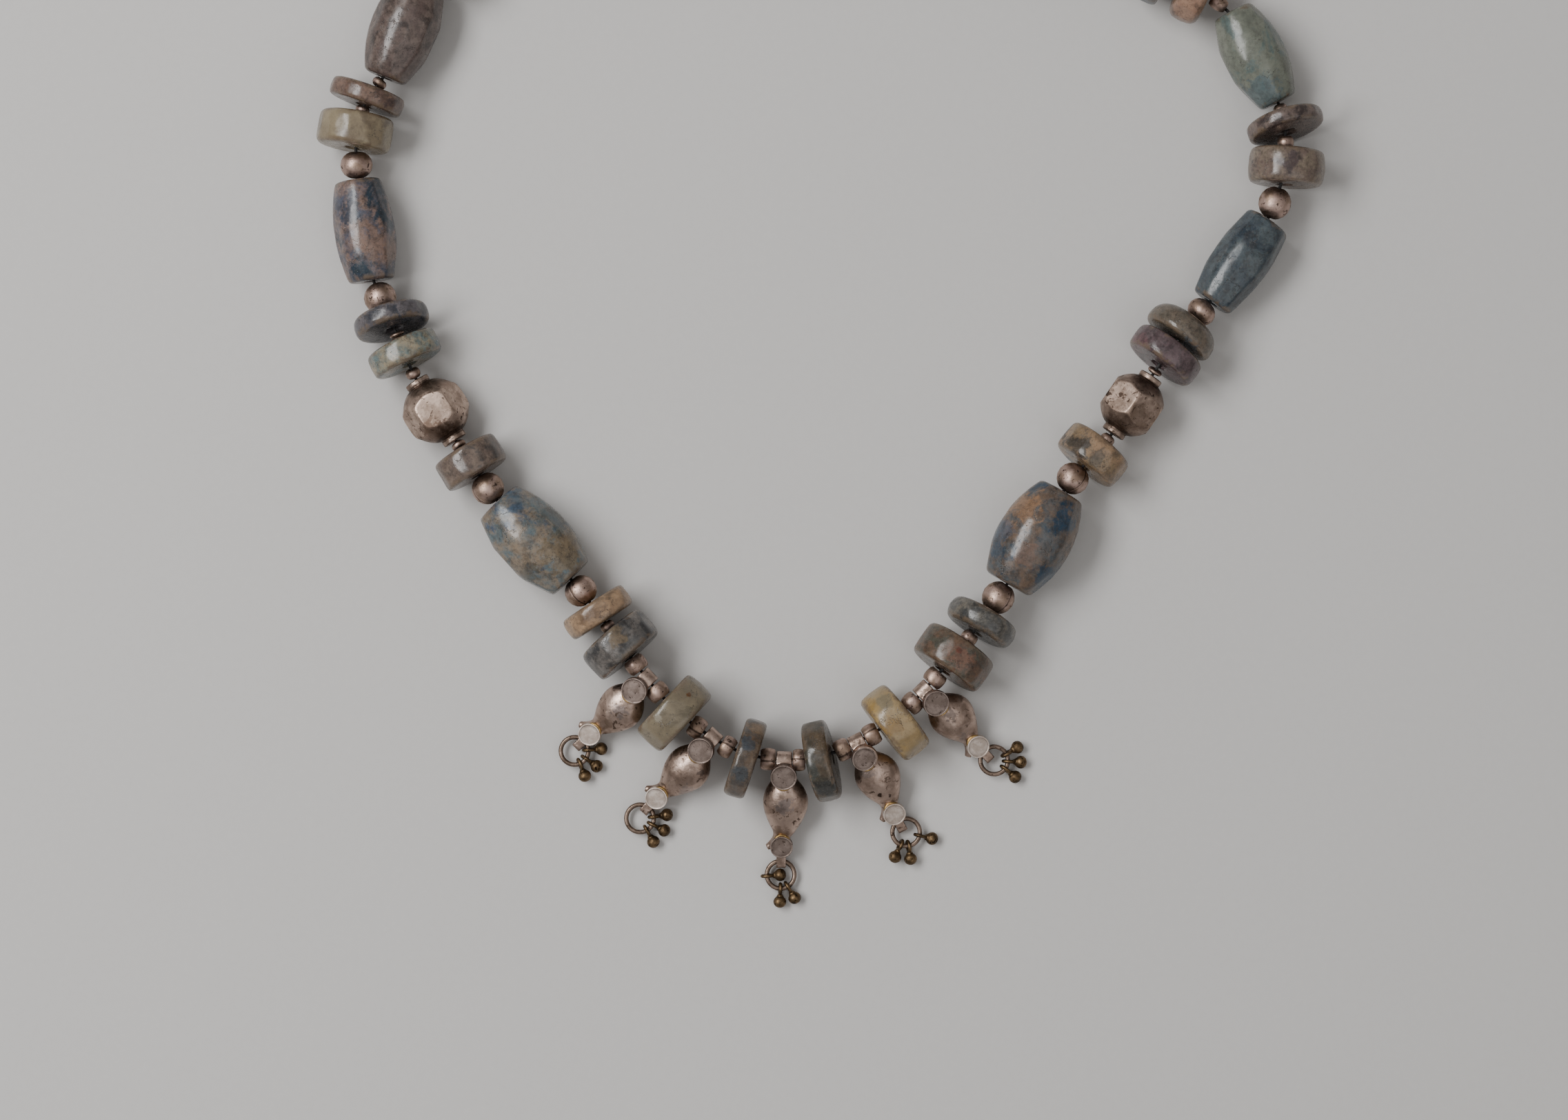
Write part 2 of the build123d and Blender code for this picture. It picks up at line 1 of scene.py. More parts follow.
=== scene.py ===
"""Finishes of a necklace of hand-ground stones and silver, laid out on a pale studio table.

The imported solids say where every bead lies. The stones, the silver beads, the drops with their
coins and solder, the rings and the bells get pieces of their own here. The clasp and the thread
keep their own meshes and get a finish.
"""

import json
import logging
import math
from collections.abc import Callable
from dataclasses import dataclass, field
from enum import Enum
from random import Random
from typing import Any

import bpy
import numpy as np
from mathutils import Matrix, Vector

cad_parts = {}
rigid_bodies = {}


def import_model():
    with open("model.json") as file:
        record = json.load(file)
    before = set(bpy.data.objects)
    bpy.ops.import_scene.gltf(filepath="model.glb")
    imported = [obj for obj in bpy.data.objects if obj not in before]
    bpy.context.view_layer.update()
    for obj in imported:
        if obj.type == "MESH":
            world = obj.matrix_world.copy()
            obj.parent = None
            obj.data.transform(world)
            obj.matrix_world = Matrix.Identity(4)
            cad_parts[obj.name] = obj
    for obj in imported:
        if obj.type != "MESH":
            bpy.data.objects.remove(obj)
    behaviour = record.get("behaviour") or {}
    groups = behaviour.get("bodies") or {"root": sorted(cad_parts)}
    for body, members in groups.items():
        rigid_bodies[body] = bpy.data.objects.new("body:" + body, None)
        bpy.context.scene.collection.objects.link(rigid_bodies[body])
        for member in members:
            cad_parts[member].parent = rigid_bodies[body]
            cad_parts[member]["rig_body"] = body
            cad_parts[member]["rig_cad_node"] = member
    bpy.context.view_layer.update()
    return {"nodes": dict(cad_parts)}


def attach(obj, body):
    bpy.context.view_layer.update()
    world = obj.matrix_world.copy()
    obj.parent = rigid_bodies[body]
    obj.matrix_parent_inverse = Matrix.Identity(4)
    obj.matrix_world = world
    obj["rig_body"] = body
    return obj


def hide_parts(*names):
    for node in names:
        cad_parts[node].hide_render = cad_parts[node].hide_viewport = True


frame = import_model()

LOG = logging.getLogger("necklace")
MILLIMETRE = 0.001
WELD = 0.001  # points nearer than this are one, in millimetres
BODY = "root"
GLEAM = (-0.30, 0.09, 0.95)  # way that a flat faces when it throws the key light upwards

Colour = tuple[float, float, float, float]
Socket = bpy.types.NodeSocket
Piece = bpy.types.Object


def tone(code: str) -> Colour:
    """Linear colour, with its alpha, of a paint code of six hex digits."""
    shares = [int(code[i:i + 2], 16) / 255 for i in (0, 2, 4)]
    linear = [s / 12.92 if s <= 0.04045 else ((s + 0.055) / 1.055) ** 2.4 for s in shares]
    return (linear[0], linear[1], linear[2], 1.0)


def frame_at(middle: Vector, x: Vector, y: Vector, z: Vector) -> Matrix:
    """Frame with its middle at a place, from its three axes."""
    return Matrix.Translation(middle) @ Matrix((x, y, z)).transposed().to_4x4()


@dataclass(frozen=True)
class Spot:
    """A patch of another colour on a stone or a bead, where it is seen from above."""

    x: float  # place and radius in millimetres
    y: float
    radius: float
    colour: str
    share: float = 0.8  # how far it covers


class Recipe:
    """The nodes of one material, whose colour is painted coat by coat."""

    LAYER = 13.7  # shift from one pattern of a material to the next
    RAGGED = 3.6  # how far a spot's outline strays, against its radius
    EDGE = 2.75  # value on a spot's outline, which the stray's middle value shifts

    def __init__(self, name: str, ground: str, seed: float = 0.0) -> None:
        """Start a material.

        Args:
            name: Name of the material.
            ground: Paint code of its ground.
            seed: Shifts every pattern, so that no two pieces have the same one.
        """
        self.material = bpy.data.materials.new(name)
        self.material.use_nodes = True
        self.seed = seed
        self.tree = self.material.node_tree
        self.surface = self.tree.nodes["Principled BSDF"]
        self.place = self.add("TexCoord", "Object", {})
        self.colour: Colour | Socket = tone(ground)

    def feed(self, socket: Socket, value: Any) -> None:
        """Link a socket to another node's output, or set it to a constant."""
        if isinstance(value, bpy.types.NodeSocket):
            self.tree.links.new(value, socket)
        else:
            socket.default_value = value

    def add(self, kind: str, gives: str | int, inputs: dict[str | int, Any], **settings: Any) -> Socket:
        """Add a shader node.

        Args:
            kind: Its type, without the words that all types start with.
            gives: Which of its outputs is used.
            inputs: What each of its inputs is fed with.
            **settings: Its settings.

        Returns:
            That output.
        """
        node = self.tree.nodes.new(f"ShaderNode{kind}")
        for label, value in settings.items():
            setattr(node, label, value)
        for label, value in inputs.items():
            self.feed(node.inputs[label], value)
        return node.outputs[gives]

    def stretched(self, sizes: tuple[float, float, float], turn: float) -> Socket:
        """Place on the piece, turned about the upright by degrees and drawn out along its axes."""
        return self.add("Mapping", "Vector", {
            "Vector": self.place, "Rotation": (0.0, 0.0, math.radians(turn)),
            "Scale": tuple(1 / size for size in sizes)})

    def clouds(self, size: float, detail: int, rough: float, warp: float = 0.0, layer: int = 0,
               place: Socket | None = None) -> Socket:
        """Soft noise.

        Args:
            size: Width of one cloud in millimetres.
            detail: Layers of finer noise.
            rough: Share that each finer layer keeps.
            warp: How far the clouds are stirred.
            layer: Tells one pattern of a material from another.
            place: Where it is read, or None for the piece's own place.

        Returns:
            A value round 0.5.
        """
        return self.add("TexNoise", "Fac", {
            "Vector": place or self.place, "W": self.seed + self.LAYER * layer,
            "Scale": 1 / (size * MILLIMETRE), "Detail": detail, "Roughness": rough,
            "Distortion": warp}, noise_dimensions="4D")

    def between(self, value: Socket, start: float, end: float,
                low: float = 0.0, high: float = 1.0) -> Socket:
        """Turn a range of a value into a smooth step from low to high."""
        return self.add("MapRange", "Result", {
            "Value": value, "From Min": start, "From Max": end, "To Min": low, "To Max": high},
            interpolation_type="SMOOTHSTEP")

    def maths(self, first: Any, second: Any, operation: str = "ADD") -> Socket:
        """Sum of two values, or what another operation makes of them."""
        return self.add("Math", "Value", {0: first, 1: second}, operation=operation)

    def ridge(self, value: Socket, width: float) -> Socket:
        """A thin line where a soft noise crosses its middle value."""
        away = self.maths(self.maths(value, 0.5, "SUBTRACT"), 0.0, "ABSOLUTE")
        return self.between(away, 0.0, width, 1.0, 0.0)

    def paint(self, code: str, share: Any) -> None:
        """Lay a paint over the colour by a share."""
        self.colour = self.add("Mix", 2, {0: share, 6: self.colour, 7: tone(code)}, data_type="RGBA")

    def relief(self, height: Socket, depth: float, strength: float,
               under: Socket | None = None) -> Socket:
        """Bump of a height pattern.

        Args:
            height: Pattern from 0 to 1.
            depth: Depth in millimetres.
            strength: Share of the bump that shows.
            under: Bump that this one lies on.

        Returns:
            The bumped normal.
        """
        inputs = {"Height": height, "Distance": depth * MILLIMETRE, "Strength": strength}
        if under is not None:
            inputs["Normal"] = under
        return self.add("Bump", "Normal", inputs)

    def carried(self, name: str) -> Socket:
        """The share that a piece's points carry under a name."""
        return self.add("Attribute", "Fac", {}, attribute_name=name)

    def paint_spots(self, spots: tuple[Spot, ...], stray: Socket, soft: float) -> None:
        """Lay spots over the colour, by the distance from their middles seen from above.

        Args:
            spots: The spots.
            stray: A value round 0.5 that makes their outlines ragged.
            soft: How soft their outlines are, as a share of their radius.
        """
        for spot in spots:
            scale = 1 / (MILLIMETRE * spot.radius)
            off = self.add("VectorMath", "Vector", {
                0: self.place, 1: (scale, scale, 0.0),
                2: (-spot.x / spot.radius, -spot.y / spot.radius, 0.0)}, operation="MULTIPLY_ADD")
            length = self.add("VectorMath", "Value", {0: off}, operation="LENGTH")
            away = self.maths(length, self.maths(stray, self.RAGGED, "MULTIPLY"))
            self.paint(spot.colour, self.between(away, self.EDGE, self.EDGE - soft, 0.0, spot.share))

    def finish(self, **sockets: Any) -> bpy.types.Material:
        """Feed the surface's sockets, with _ for a space in each name, and give the material."""
        for label, value in {"Base_Color": self.colour, **sockets}.items():
            self.feed(self.surface.inputs[label.replace("_", " ")], value)
        return self.material


@dataclass(frozen=True)
class StoneFinish:
    """Polished mottled stone."""

    ground: str
    cloud: str
    patch: str
    mottle: float = 1.0  # size of its clouds
    patches: float = 0.5  # how much of it the patches take
    spots: tuple[Spot, ...] = ()
    vein: str = "211c19"
    fleck: str = "8a8078"
    rim: str = "665646"  # colour of its worn edges
    grain: float = 0.5  # how strongly its grain shows

    def material(self, name: str, seed: float) -> bpy.types.Material:
        """The stone of one bead.

        Args:
            name: Name of the material.
            seed: Shifts the bead's pattern.

        Returns:
            The material.
        """
        mix = Recipe(name, self.ground, seed)
        # mottled ground with patches, spots and shade
        clouds = mix.clouds(3.6 * self.mottle, 9, 0.68, 0.35, 1)
        patches = mix.clouds(7.0 * self.mottle, 9, 0.66, 0.5, 2)
        edge = 0.62 - 0.22 * self.patches
        mix.paint(self.cloud, mix.between(clouds, 0.38, 0.62))
        mix.paint(self.patch, mix.between(patches, edge, edge + 0.10))
        ragged = mix.clouds(2.2, 7, 0.68, 0.3, 9)
        mix.paint_spots(self.spots, ragged, 0.4)
        shade = mix.clouds(1.5 * self.mottle, 8, 0.75, 0.2, 8)
        mix.paint(self.vein, mix.between(shade, 0.42, 0.66, 0.0, min(0.6, 1.2 * self.grain)))
        # cracks that break off, and worn edges
        cracks = mix.ridge(mix.clouds(5.0, 5, 0.6, 0.3, 3), 0.008)
        breaks = mix.between(mix.clouds(3.0, 2, 0.5, 0.0, 4), 0.47, 0.58)
        crack = mix.maths(mix.maths(cracks, breaks, "MULTIPLY"), 0.75, "MULTIPLY")
        mix.paint(self.vein, crack)
        worn = mix.maths(mix.carried("rim"), mix.between(ragged, 0.35, 0.65), "MULTIPLY")
        mix.paint(self.rim, mix.between(worn, 0.15, 0.6, 0.0, 0.75))
        # fine grain, dark and pale
        grain = mix.clouds(0.45, 5, 0.75, 0.2, 5)
        mix.paint(self.vein, mix.maths(mix.between(grain, 0.52, 0.68), self.grain, "MULTIPLY"))
        pale = mix.maths(mix.between(grain, 0.47, 0.33), 0.35 * self.grain, "MULTIPLY")
        mix.paint(self.fleck, pale)
        # uneven polish over soft waves, cracks and pits
        polish = mix.between(mix.clouds(0.9, 4, 0.7, 0.0, 6), 0.35, 0.72, 0.17, 0.34)
        waves = mix.relief(mix.clouds(2.6, 2, 0.5, 0.0, 7), 0.05, 0.5)
        cut = mix.relief(mix.maths(1.0, crack, "SUBTRACT"), 0.05, 0.6, waves)
        pits = mix.relief(mix.between(grain, 0.60, 0.74, 1.0, 0.0), 0.04, 0.6, cut)
        return mix.finish(Roughness=polish, Normal=pits, IOR=1.52)


@dataclass(frozen=True)
class MetalFinish:
    """Old metal with tarnish in clouds, fine scratches and soft dents."""

    bright: str
    dull: str
    tarnish: str
    roughness: float
    dents: float  # depth of the dents in millimetres
    tarnished: float  # how much of it has darkened
    cloud: float  # width of a cloud of tarnish in millimetres

    def material(self, name: str, seed: float, spots: tuple[Spot, ...] = ()) -> bpy.types.Material:
        """The metal of one piece, which is darker where its points carry a share of dirt and painted
        shade.

        Args:
            name: Name of the material.
            seed: Shifts the piece's pattern.
            spots: Its stains.

        Returns:
            The material.
        """
        mix = Recipe(name, self.bright, seed)
        # worn metal with its spots, dirt with painted shade, and tarnish
        worn = mix.clouds(2.2 * self.cloud, 5, 0.6, 0.4, 1)
        mix.paint(self.dull, mix.between(worn, 0.38, 0.62))
        ragged = mix.clouds(1.0, 6, 0.65, 0.3, 9)
        mix.paint_spots(spots, ragged, 0.35)
        # dirt and painted shade, such as the shade in the coins' grooves, where the points carry them
        uneven = mix.between(ragged, 0.25, 0.75, 0.55, 1.0)
        mix.paint(self.tarnish, mix.maths(mix.carried("dirt_and_shade"), uneven, "MULTIPLY"))
        stains = mix.clouds(self.cloud, 7, 0.65, 0.8, 2)
        edge = 0.68 - 0.2 * self.tarnished
        mix.paint(self.tarnish, mix.between(stains, edge, edge + 0.08))
        fine = mix.clouds(0.22, 3, 0.6, 0.0, 3)
        mix.paint(self.tarnish, mix.between(fine, 0.55, 0.75, 0.0, 0.35))
        # two ways of scratches over dents and pits
        along = mix.clouds(0.30, 3, 0.7, 0.0, 4, mix.stretched((9.0, 0.8, 1.0), 34.0))
        across = mix.clouds(0.30, 3, 0.7, 0.0, 5, mix.stretched((9.0, 0.8, 1.0), -52.0))
        scratches = mix.maths(mix.between(along, 0.60, 0.68), mix.between(across, 0.60, 0.68))
        rough = mix.between(stains, 0.35, 0.70, self.roughness, self.roughness + 0.22)
        dented = mix.relief(mix.clouds(1.9, 2, 0.5, 0.0, 6), self.dents, 0.8)
        pitted = mix.relief(mix.between(fine, 0.58, 0.72, 1.0, 0.0), 0.02, 0.5, dented)
        scored = mix.relief(mix.between(scratches, 0.0, 1.0, 1.0, 0.0), 0.012, 0.5, pitted)
        return mix.finish(Metallic=1.0, Roughness=rough, Normal=scored)


@dataclass(frozen=True)
class ThreadFinish:
    """Waxed black thread with a fine twist."""

    black: str = "171516"
    worn: str = "332e2d"
    twist: float = 0.35  # width of one strand in millimetres

    def material(self) -> bpy.types.Material:
        """The thread's material."""
        mix = Recipe("black_thread", self.black)
        strands = mix.clouds(self.twist, 2, 0.5, 0.0, 1, mix.stretched((1.0, 1.0, 0.5), 45.0))
        mix.paint(self.worn, mix.between(strands, 0.45, 0.65))
        return mix.finish(Roughness=0.72, Normal=mix.relief(strands, 0.06, 0.8))


class Metal(Enum):
    """The metals of the necklace."""

    SILVER = MetalFinish("c0a99c", "978275", "65554a", 0.28, 0.13, 0.62, 1.4)
    HEAD_COIN = MetalFinish("a5958d", "877870", "4f433c", 0.46, 0.03, 0.6, 0.8)
    TAIL_COIN = MetalFinish("e6dad0", "c6b7ab", "81726a", 0.44, 0.03, 0.25, 0.7)
    BEAD_SILVER = MetalFinish("bba297", "968070", "4a3d35", 0.38, 0.10, 0.6, 1.0)
    FLAT_SILVER = MetalFinish("cbb4a5", "9f8a7c", "4a3c33", 0.36, 0.10, 0.55, 1.1)
    RING_SILVER = MetalFinish("8f7c6f", "6f5f53", "3d3129", 0.34, 0.04, 0.6, 0.8)
    SOLDER = MetalFinish("c9a76f", "9a7f53", "57452c", 0.34, 0.06, 0.4, 0.6)
    BRASS = MetalFinish("7d674c", "504130", "221a12", 0.40, 0.09, 0.7, 0.7)


class Bench:
    """Handling that every piece needs: tools that start clean, modifiers and placing.

    Pieces are worked in millimetres with the bore along Z, and are placed at the end.
    """

    @staticmethod
    def clear() -> None:
        """Put every object out of the selection."""
        bpy.ops.object.select_all(action="DESELECT")
        bpy.context.view_layer.objects.active = None

    @staticmethod
    def take(piece: Piece) -> None:
        """Select one object alone and make it the active one."""
        Bench.clear()
        piece.select_set(True)
        bpy.context.view_layer.objects.active = piece

    @staticmethod
    def edit(choose: str = "VERT", select: bool | None = True) -> None:
        """Open the active object's mesh.

        Args:
            choose: What is chosen there: VERT, EDGE or FACE.
            select: Whether all of it is selected, or None to leave that as it is.
        """
        bpy.ops.object.mode_set(mode="EDIT")
        bpy.ops.mesh.select_mode(type=choose)
        if select is not None:
            bpy.ops.mesh.select_all(action="SELECT" if select else "DESELECT")

    @staticmethod
    def close() -> None:
        """Leave the mesh."""
        bpy.ops.object.mode_set(mode="OBJECT")

    @staticmethod
    def modify(piece: Piece, kind: str, **settings: Any) -> None:
        """Add a modifier to a piece and apply it.

        Args:
            piece: The object.
            kind: The modifier's type.
            **settings: Its values.
        """
        Bench.take(piece)
        bpy.ops.object.modifier_add(type=kind)
        modifier = piece.modifiers[-1]
        for label, value in settings.items():
            setattr(modifier, label, value)
        bpy.ops.object.modifier_apply(modifier=modifier.name)

    @staticmethod
    def soften(piece: Piece, grain: float, rounds: int = 3) -> None:
        """Give a piece even faces of one size in millimetres, and round its edges."""
        Bench.modify(piece, "REMESH", mode="VOXEL", voxel_size=grain)
        Bench.modify(piece, "SMOOTH", factor=0.5, iterations=rounds)

    @staticmethod
    def grind(piece: Piece, flats: list[tuple[Vector, Vector]]) -> None:
        """Cut a piece off at flats, each given by a point on it and its outward direction."""
        Bench.take(piece)
        Bench.edit()
        for spot, outward in flats:
            bpy.ops.mesh.select_all(action="SELECT")
            bpy.ops.mesh.bisect(plane_co=spot, plane_no=outward, use_fill=True, clear_outer=True)
        Bench.close()

    @staticmethod
    def place(piece: Piece, matrix: Matrix) -> None:
        """Put a piece that was worked in millimetres at its place, and fix that in its mesh."""
        piece.matrix_world = matrix @ Matrix.Scale(MILLIMETRE, 4)
        Bench.take(piece)
        bpy.ops.object.transform_apply()

    @staticmethod
    def join(pieces: list[Piece]) -> Piece:
        """Make one object of several."""
        Bench.take(pieces[0])
        for other in pieces[1:]:
            other.select_set(True)
        if len(pieces) > 1:
            bpy.ops.object.join()
        return pieces[0]

    @staticmethod
    def copy_of(piece: Piece) -> Piece:
        """A copy of a piece with a mesh of its own."""
        Bench.take(piece)
        bpy.ops.object.duplicate(linked=False)
        return bpy.context.object

    @staticmethod
    def mark(piece: Piece, name: str, share: Callable[[Vector], float]) -> None:
        """Let every point of a piece carry a share.

        Args:
            piece: The object.
            name: Name that its finish reads the share by.
            share: Gives the share of a point from its place in millimetres.
        """
        values = piece.data.attributes.new(name, "FLOAT", "POINT").data
        for point, value in zip(piece.data.vertices, values):
            value.value = share(point.co)

    @staticmethod
    def lathe(outline: list[tuple[float, float]], bore: float, sides: int) -> Piece:
        """A drilled bead, drawn ring by ring along its outline and back through its bore.

        Args:
            outline: Place along the bore and radius of each ring.
            bore: Radius of the bore.
            sides: Corners of each ring.

        Returns:
            The closed bead.
        """
        rings = [(outline[0][0], bore), *outline, (outline[-1][0], bore), (outline[0][0], bore)]
        Bench.clear()
        bpy.ops.mesh.primitive_circle_add(vertices=sides, radius=bore, fill_type="NOTHING")
        piece = bpy.context.object
        Bench.edit()
        bpy.ops.transform.translate(value=(0, 0, rings[0][0]))
        for (height, radius), (next_height, next_radius) in zip(rings, rings[1:]):
            rise = (0, 0, next_height - height)
            bpy.ops.mesh.extrude_region_move(TRANSFORM_OT_translate={"value": rise})
            share = next_radius / radius
            bpy.ops.transform.resize(value=(share, share, 1), center_override=(0, 0, 0))
        bpy.ops.mesh.select_all(action="SELECT")
        bpy.ops.mesh.remove_doubles(threshold=WELD)
        bpy.ops.mesh.normals_make_consistent(inside=False)
        Bench.close()
        return piece

    @staticmethod
    def dress(piece: Piece, name: str, material: bpy.types.Material, slot: str, *nodes: str) -> None:
        """Name and finish a piece, and let it stand for its solids.

        Args:
            piece: The object.
            name: Its name.
            material: Its finish.
            slot: The record's material slot; not used.
            *nodes: The CAD nodes that it replaces.
        """
        piece.name = name
        piece.data.name = name
        piece.data.materials.clear()
        piece.data.materials.append(material)
        Bench.take(piece)
        bpy.ops.object.shade_smooth()
        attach(piece, BODY)
        if nodes:
            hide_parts(*nodes)
        LOG.info("%s: %d faces, for %s", name, len(piece.data.polygons), ", ".join(nodes) or "trim")


@dataclass
class Solid:
    """The points and triangles of one solid, in metres."""

    points: np.ndarray
    faces: np.ndarray

    @classmethod
    def of(cls, piece: Piece) -> "Solid":
        """The solid of an object's mesh."""
        mesh = piece.data
        mesh.calc_loop_triangles()
        points = np.empty(len(mesh.vertices) * 3)
        mesh.vertices.foreach_get("co", points)
        faces = np.empty(len(mesh.loop_triangles) * 3, dtype=np.int32)
        mesh.loop_triangles.foreach_get("vertices", faces)
        return cls(points.reshape(-1, 3), faces.reshape(-1, 3))

    @classmethod
    def loose(cls, node: str) -> list["Solid"]:
        """Every loose solid of a CAD node, from a merged copy that is then thrown away."""
        Bench.copy_of(frame["nodes"][node])
        Bench.edit()
        bpy.ops.mesh.remove_doubles(threshold=WELD * MILLIMETRE)
        bpy.ops.mesh.separate(type="LOOSE")
        Bench.close()
        parts = list(bpy.context.selected_objects)
        solids = [cls.of(part) for part in parts]
        for part in parts:
            bpy.data.objects.remove(part)
        return solids

    def patches(self) -> tuple[np.ndarray, np.ndarray, np.ndarray]:
        """Middle, area-sized normal and area of every triangle."""
        a, b, c = (self.points[self.faces[:, i]] for i in range(3))
        normals = np.cross(b - a, c - a) / 2
        return (a + b + c) / 3, normals, np.linalg.norm(normals, axis=1)

    def centre(self) -> np.ndarray:
        """Middle of the surface."""
        middles, _, areas = self.patches()
        return (middles * areas[:, None]).sum(0) / areas.sum()


@dataclass
class Seat:
    """Where a drilled bead lies, and its outline along the bore in millimetres."""

    middle: Vector
    ahead: Vector
    half: float
    bore: float
    solid: Solid

    @classmethod
    def of(cls, solid: Solid) -> "Seat":
        """Find a bead's bore, whose wall is what faces inwards.

        Args:
            solid: The bead's solid.

        Returns:
            Its seat.
        """
        middles, normals, _ = solid.patches()
        centre = solid.centre()
        inward = ((middles - centre) * normals).sum(1) < 0
        walls = normals[inward]
        sizes = np.linalg.norm(walls, axis=1) + 1e-18
        axis = np.linalg.eigh((walls.T / sizes) @ walls)[1][:, 0]
        axis = axis if axis[0] > 0 else -axis
        along = (solid.points - centre) @ axis
        middle = centre + axis * (along.max() + along.min()) / 2
        off = middles[inward] - middle
        reach = np.linalg.norm(off - np.outer(off @ axis, axis), axis=1)
        half = (along.max() - along.min()) / 2 / MILLIMETRE
        return cls(Vector(middle), Vector(axis), half, float(np.median(reach)) / MILLIMETRE, solid)

    def radius(self, station: float) -> float:
        """Radius of the outside at a distance along the bore, all in millimetres."""
        axis, middle = np.array(self.ahead), np.array(self.middle)
        off = (self.solid.points - middle) / MILLIMETRE
        along = off @ axis
        first = self.solid.faces.ravel()
        second = self.solid.faces[:, [1, 2, 0]].ravel()
        over = (along[first] - station) * (along[second] - station) <= 0
        first, second = first[over], second[over]
        step = along[second] - along[first]
        share = np.where(np.abs(step) > 1e-9, (station - along[first]) / np.where(step == 0, 1, step), 0)
        cut = off[first] + (off[second] - off[first]) * share[:, None]
        return float(np.linalg.norm(cut - np.outer(cut @ axis, axis), axis=1).max())

    def outline(self, shares: tuple[float, ...]) -> list[tuple[float, float]]:
        """Place and radius of a ring at each share of the half length."""
        return [(share * self.half, self.radius(share * self.half * 0.9995)) for share in shares]

    def matrix(self, roll: float = 0.0) -> Matrix:
        """Frame with Z along the bore and X upwards.

        Args:
            roll: Degrees that the bead is turned on its bore.

        Returns:
            The frame, in metres.
        """
        up = Vector((0, 0, 1))
        up = (up - self.ahead * up.dot(self.ahead)).normalized()
        upright = frame_at(self.middle, up, self.ahead.cross(up), self.ahead)
        return upright @ Matrix.Rotation(math.radians(roll), 4, "Z")


@dataclass(frozen=True)
class Grind:
    """How a stone's side was ground flat by hand, in bands round its bore."""

    bands: tuple[float, ...]  # place of each band, as a share of the half length
    flats: int  # flats round each band
    depth: tuple[float, float]  # least and most that a flat takes off, in millimetres
    gleam: float  # what the flat towards the light takes off
    wobble: float  # degrees that a flat may lean
    rings: tuple[float, ...]  # rings of the blank, as shares of the half length


class Cut(Enum):
    """The shapes that the stones are cut to."""

    DISC = Grind((0.0,), 13, (0.10, 0.30), 0.14, 5.0, (-1, -0.94, -0.8, -0.6, 0, 0.6, 0.8, 0.94, 1))
    BARREL = Grind((-0.66, 0.0, 0.66), 9, (0.12, 0.36), 0.09, 3.0,
                   (-1, -0.97, -0.92, -0.75, -0.5, -0.25, 0, 0.25, 0.5, 0.75, 0.92, 0.97, 1))
    BUN = Grind((0.1,), 9, (0.03, 0.12), 0.05, 4.0,
                (-1, -0.94, -0.8, -0.6, 0, 0.4, 0.65, 0.85, 0.96, 1))


@dataclass
class GroundStone:
    """One drilled stone, turned from its outline, ground in flats, softened and polished."""

    node: str
    look: StoneFinish
    slot: str
    cut: Cut
    seed: int
    sides: int = 48
    grain: float = 0.38  # size of the softened mesh's faces in millimetres
    rim: float = 1.6  # width of its worn edges in millimetres
    stray: float = 0.2  # how far a flat strays, against the step to the next
    span: float = 0.4  # half the length that a band's slope is read over
    seat: Seat = field(init=False)

    def __post_init__(self) -> None:
        """Find the stone's place."""
        self.seat = Seat.of(Solid.of(frame["nodes"][self.node]))

    def flats(self) -> list[tuple[Vector, Vector]]:
        """A point on each flat and its outward direction, in the stone's own frame."""
        chance = Random(self.seed)
        grind: Grind = self.cut.value
        shine = self.seat.matrix().to_3x3().inverted() @ Vector(GLEAM)
        start = math.degrees(math.atan2(shine.y, shine.x))
        found = []
        for band in grind.bands:
            station = band * self.seat.half
            here = self.seat.radius(station)
            slope = self.seat.radius(station + self.span) - self.seat.radius(station - self.span)
            lean = math.degrees(math.atan2(-slope, 2 * self.span))
            for index in range(grind.flats):
                stray = chance.uniform(-self.stray, self.stray) if index else 0.0
                angle = math.radians(start + 360 * (index + stray) / grind.flats)
                tilt = math.radians(lean + (chance.uniform(-grind.wobble, grind.wobble) if index else 0.0))
                turned = Matrix.Rotation(angle, 3, "Z")
                depth = chance.uniform(*grind.depth) if index else grind.gleam
                spot = turned @ Vector((1, 0, 0)) * (here - depth) + Vector((0, 0, station))
                found.append((spot, turned @ Vector((math.cos(tilt), 0, math.sin(tilt)))))
        return found

    def rim_share(self, spot: Vector, end: float) -> float:
        """How near a point is to the edge of an end with that radius, from 0 to 1."""
        gap = math.hypot(self.seat.half - abs(spot.z), end - spot.xy.length)
        return max(0.0, 1.0 - gap / self.rim)

    def build(self) -> None:
        """Model the stone and put it in its place."""
        piece = Bench.lathe(self.seat.outline(self.cut.value.rings), self.seat.bore, self.sides)
        Bench.grind(piece, self.flats())
        Bench.soften(piece, self.grain, 2)
        ends = [self.seat.radius(side * 0.9 * self.seat.half) for side in (-1, 1)]
        Bench.mark(piece, "rim", lambda spot: self.rim_share(spot, ends[spot.z > 0]))
        Bench.place(piece, self.seat.matrix())
        stone = self.look.material(f"stone_{self.node}", 3.1 * self.seed)
        Bench.dress(piece, f"ground_{self.node}", stone, self.slot, self.node)


@dataclass(frozen=True)
class Seam:
    """Which small bead shows its seam, and how far that is turned from the top."""

    x: float  # place of the bead in millimetres
    y: float
    turn: float  # degrees
    reach: float = 2.0


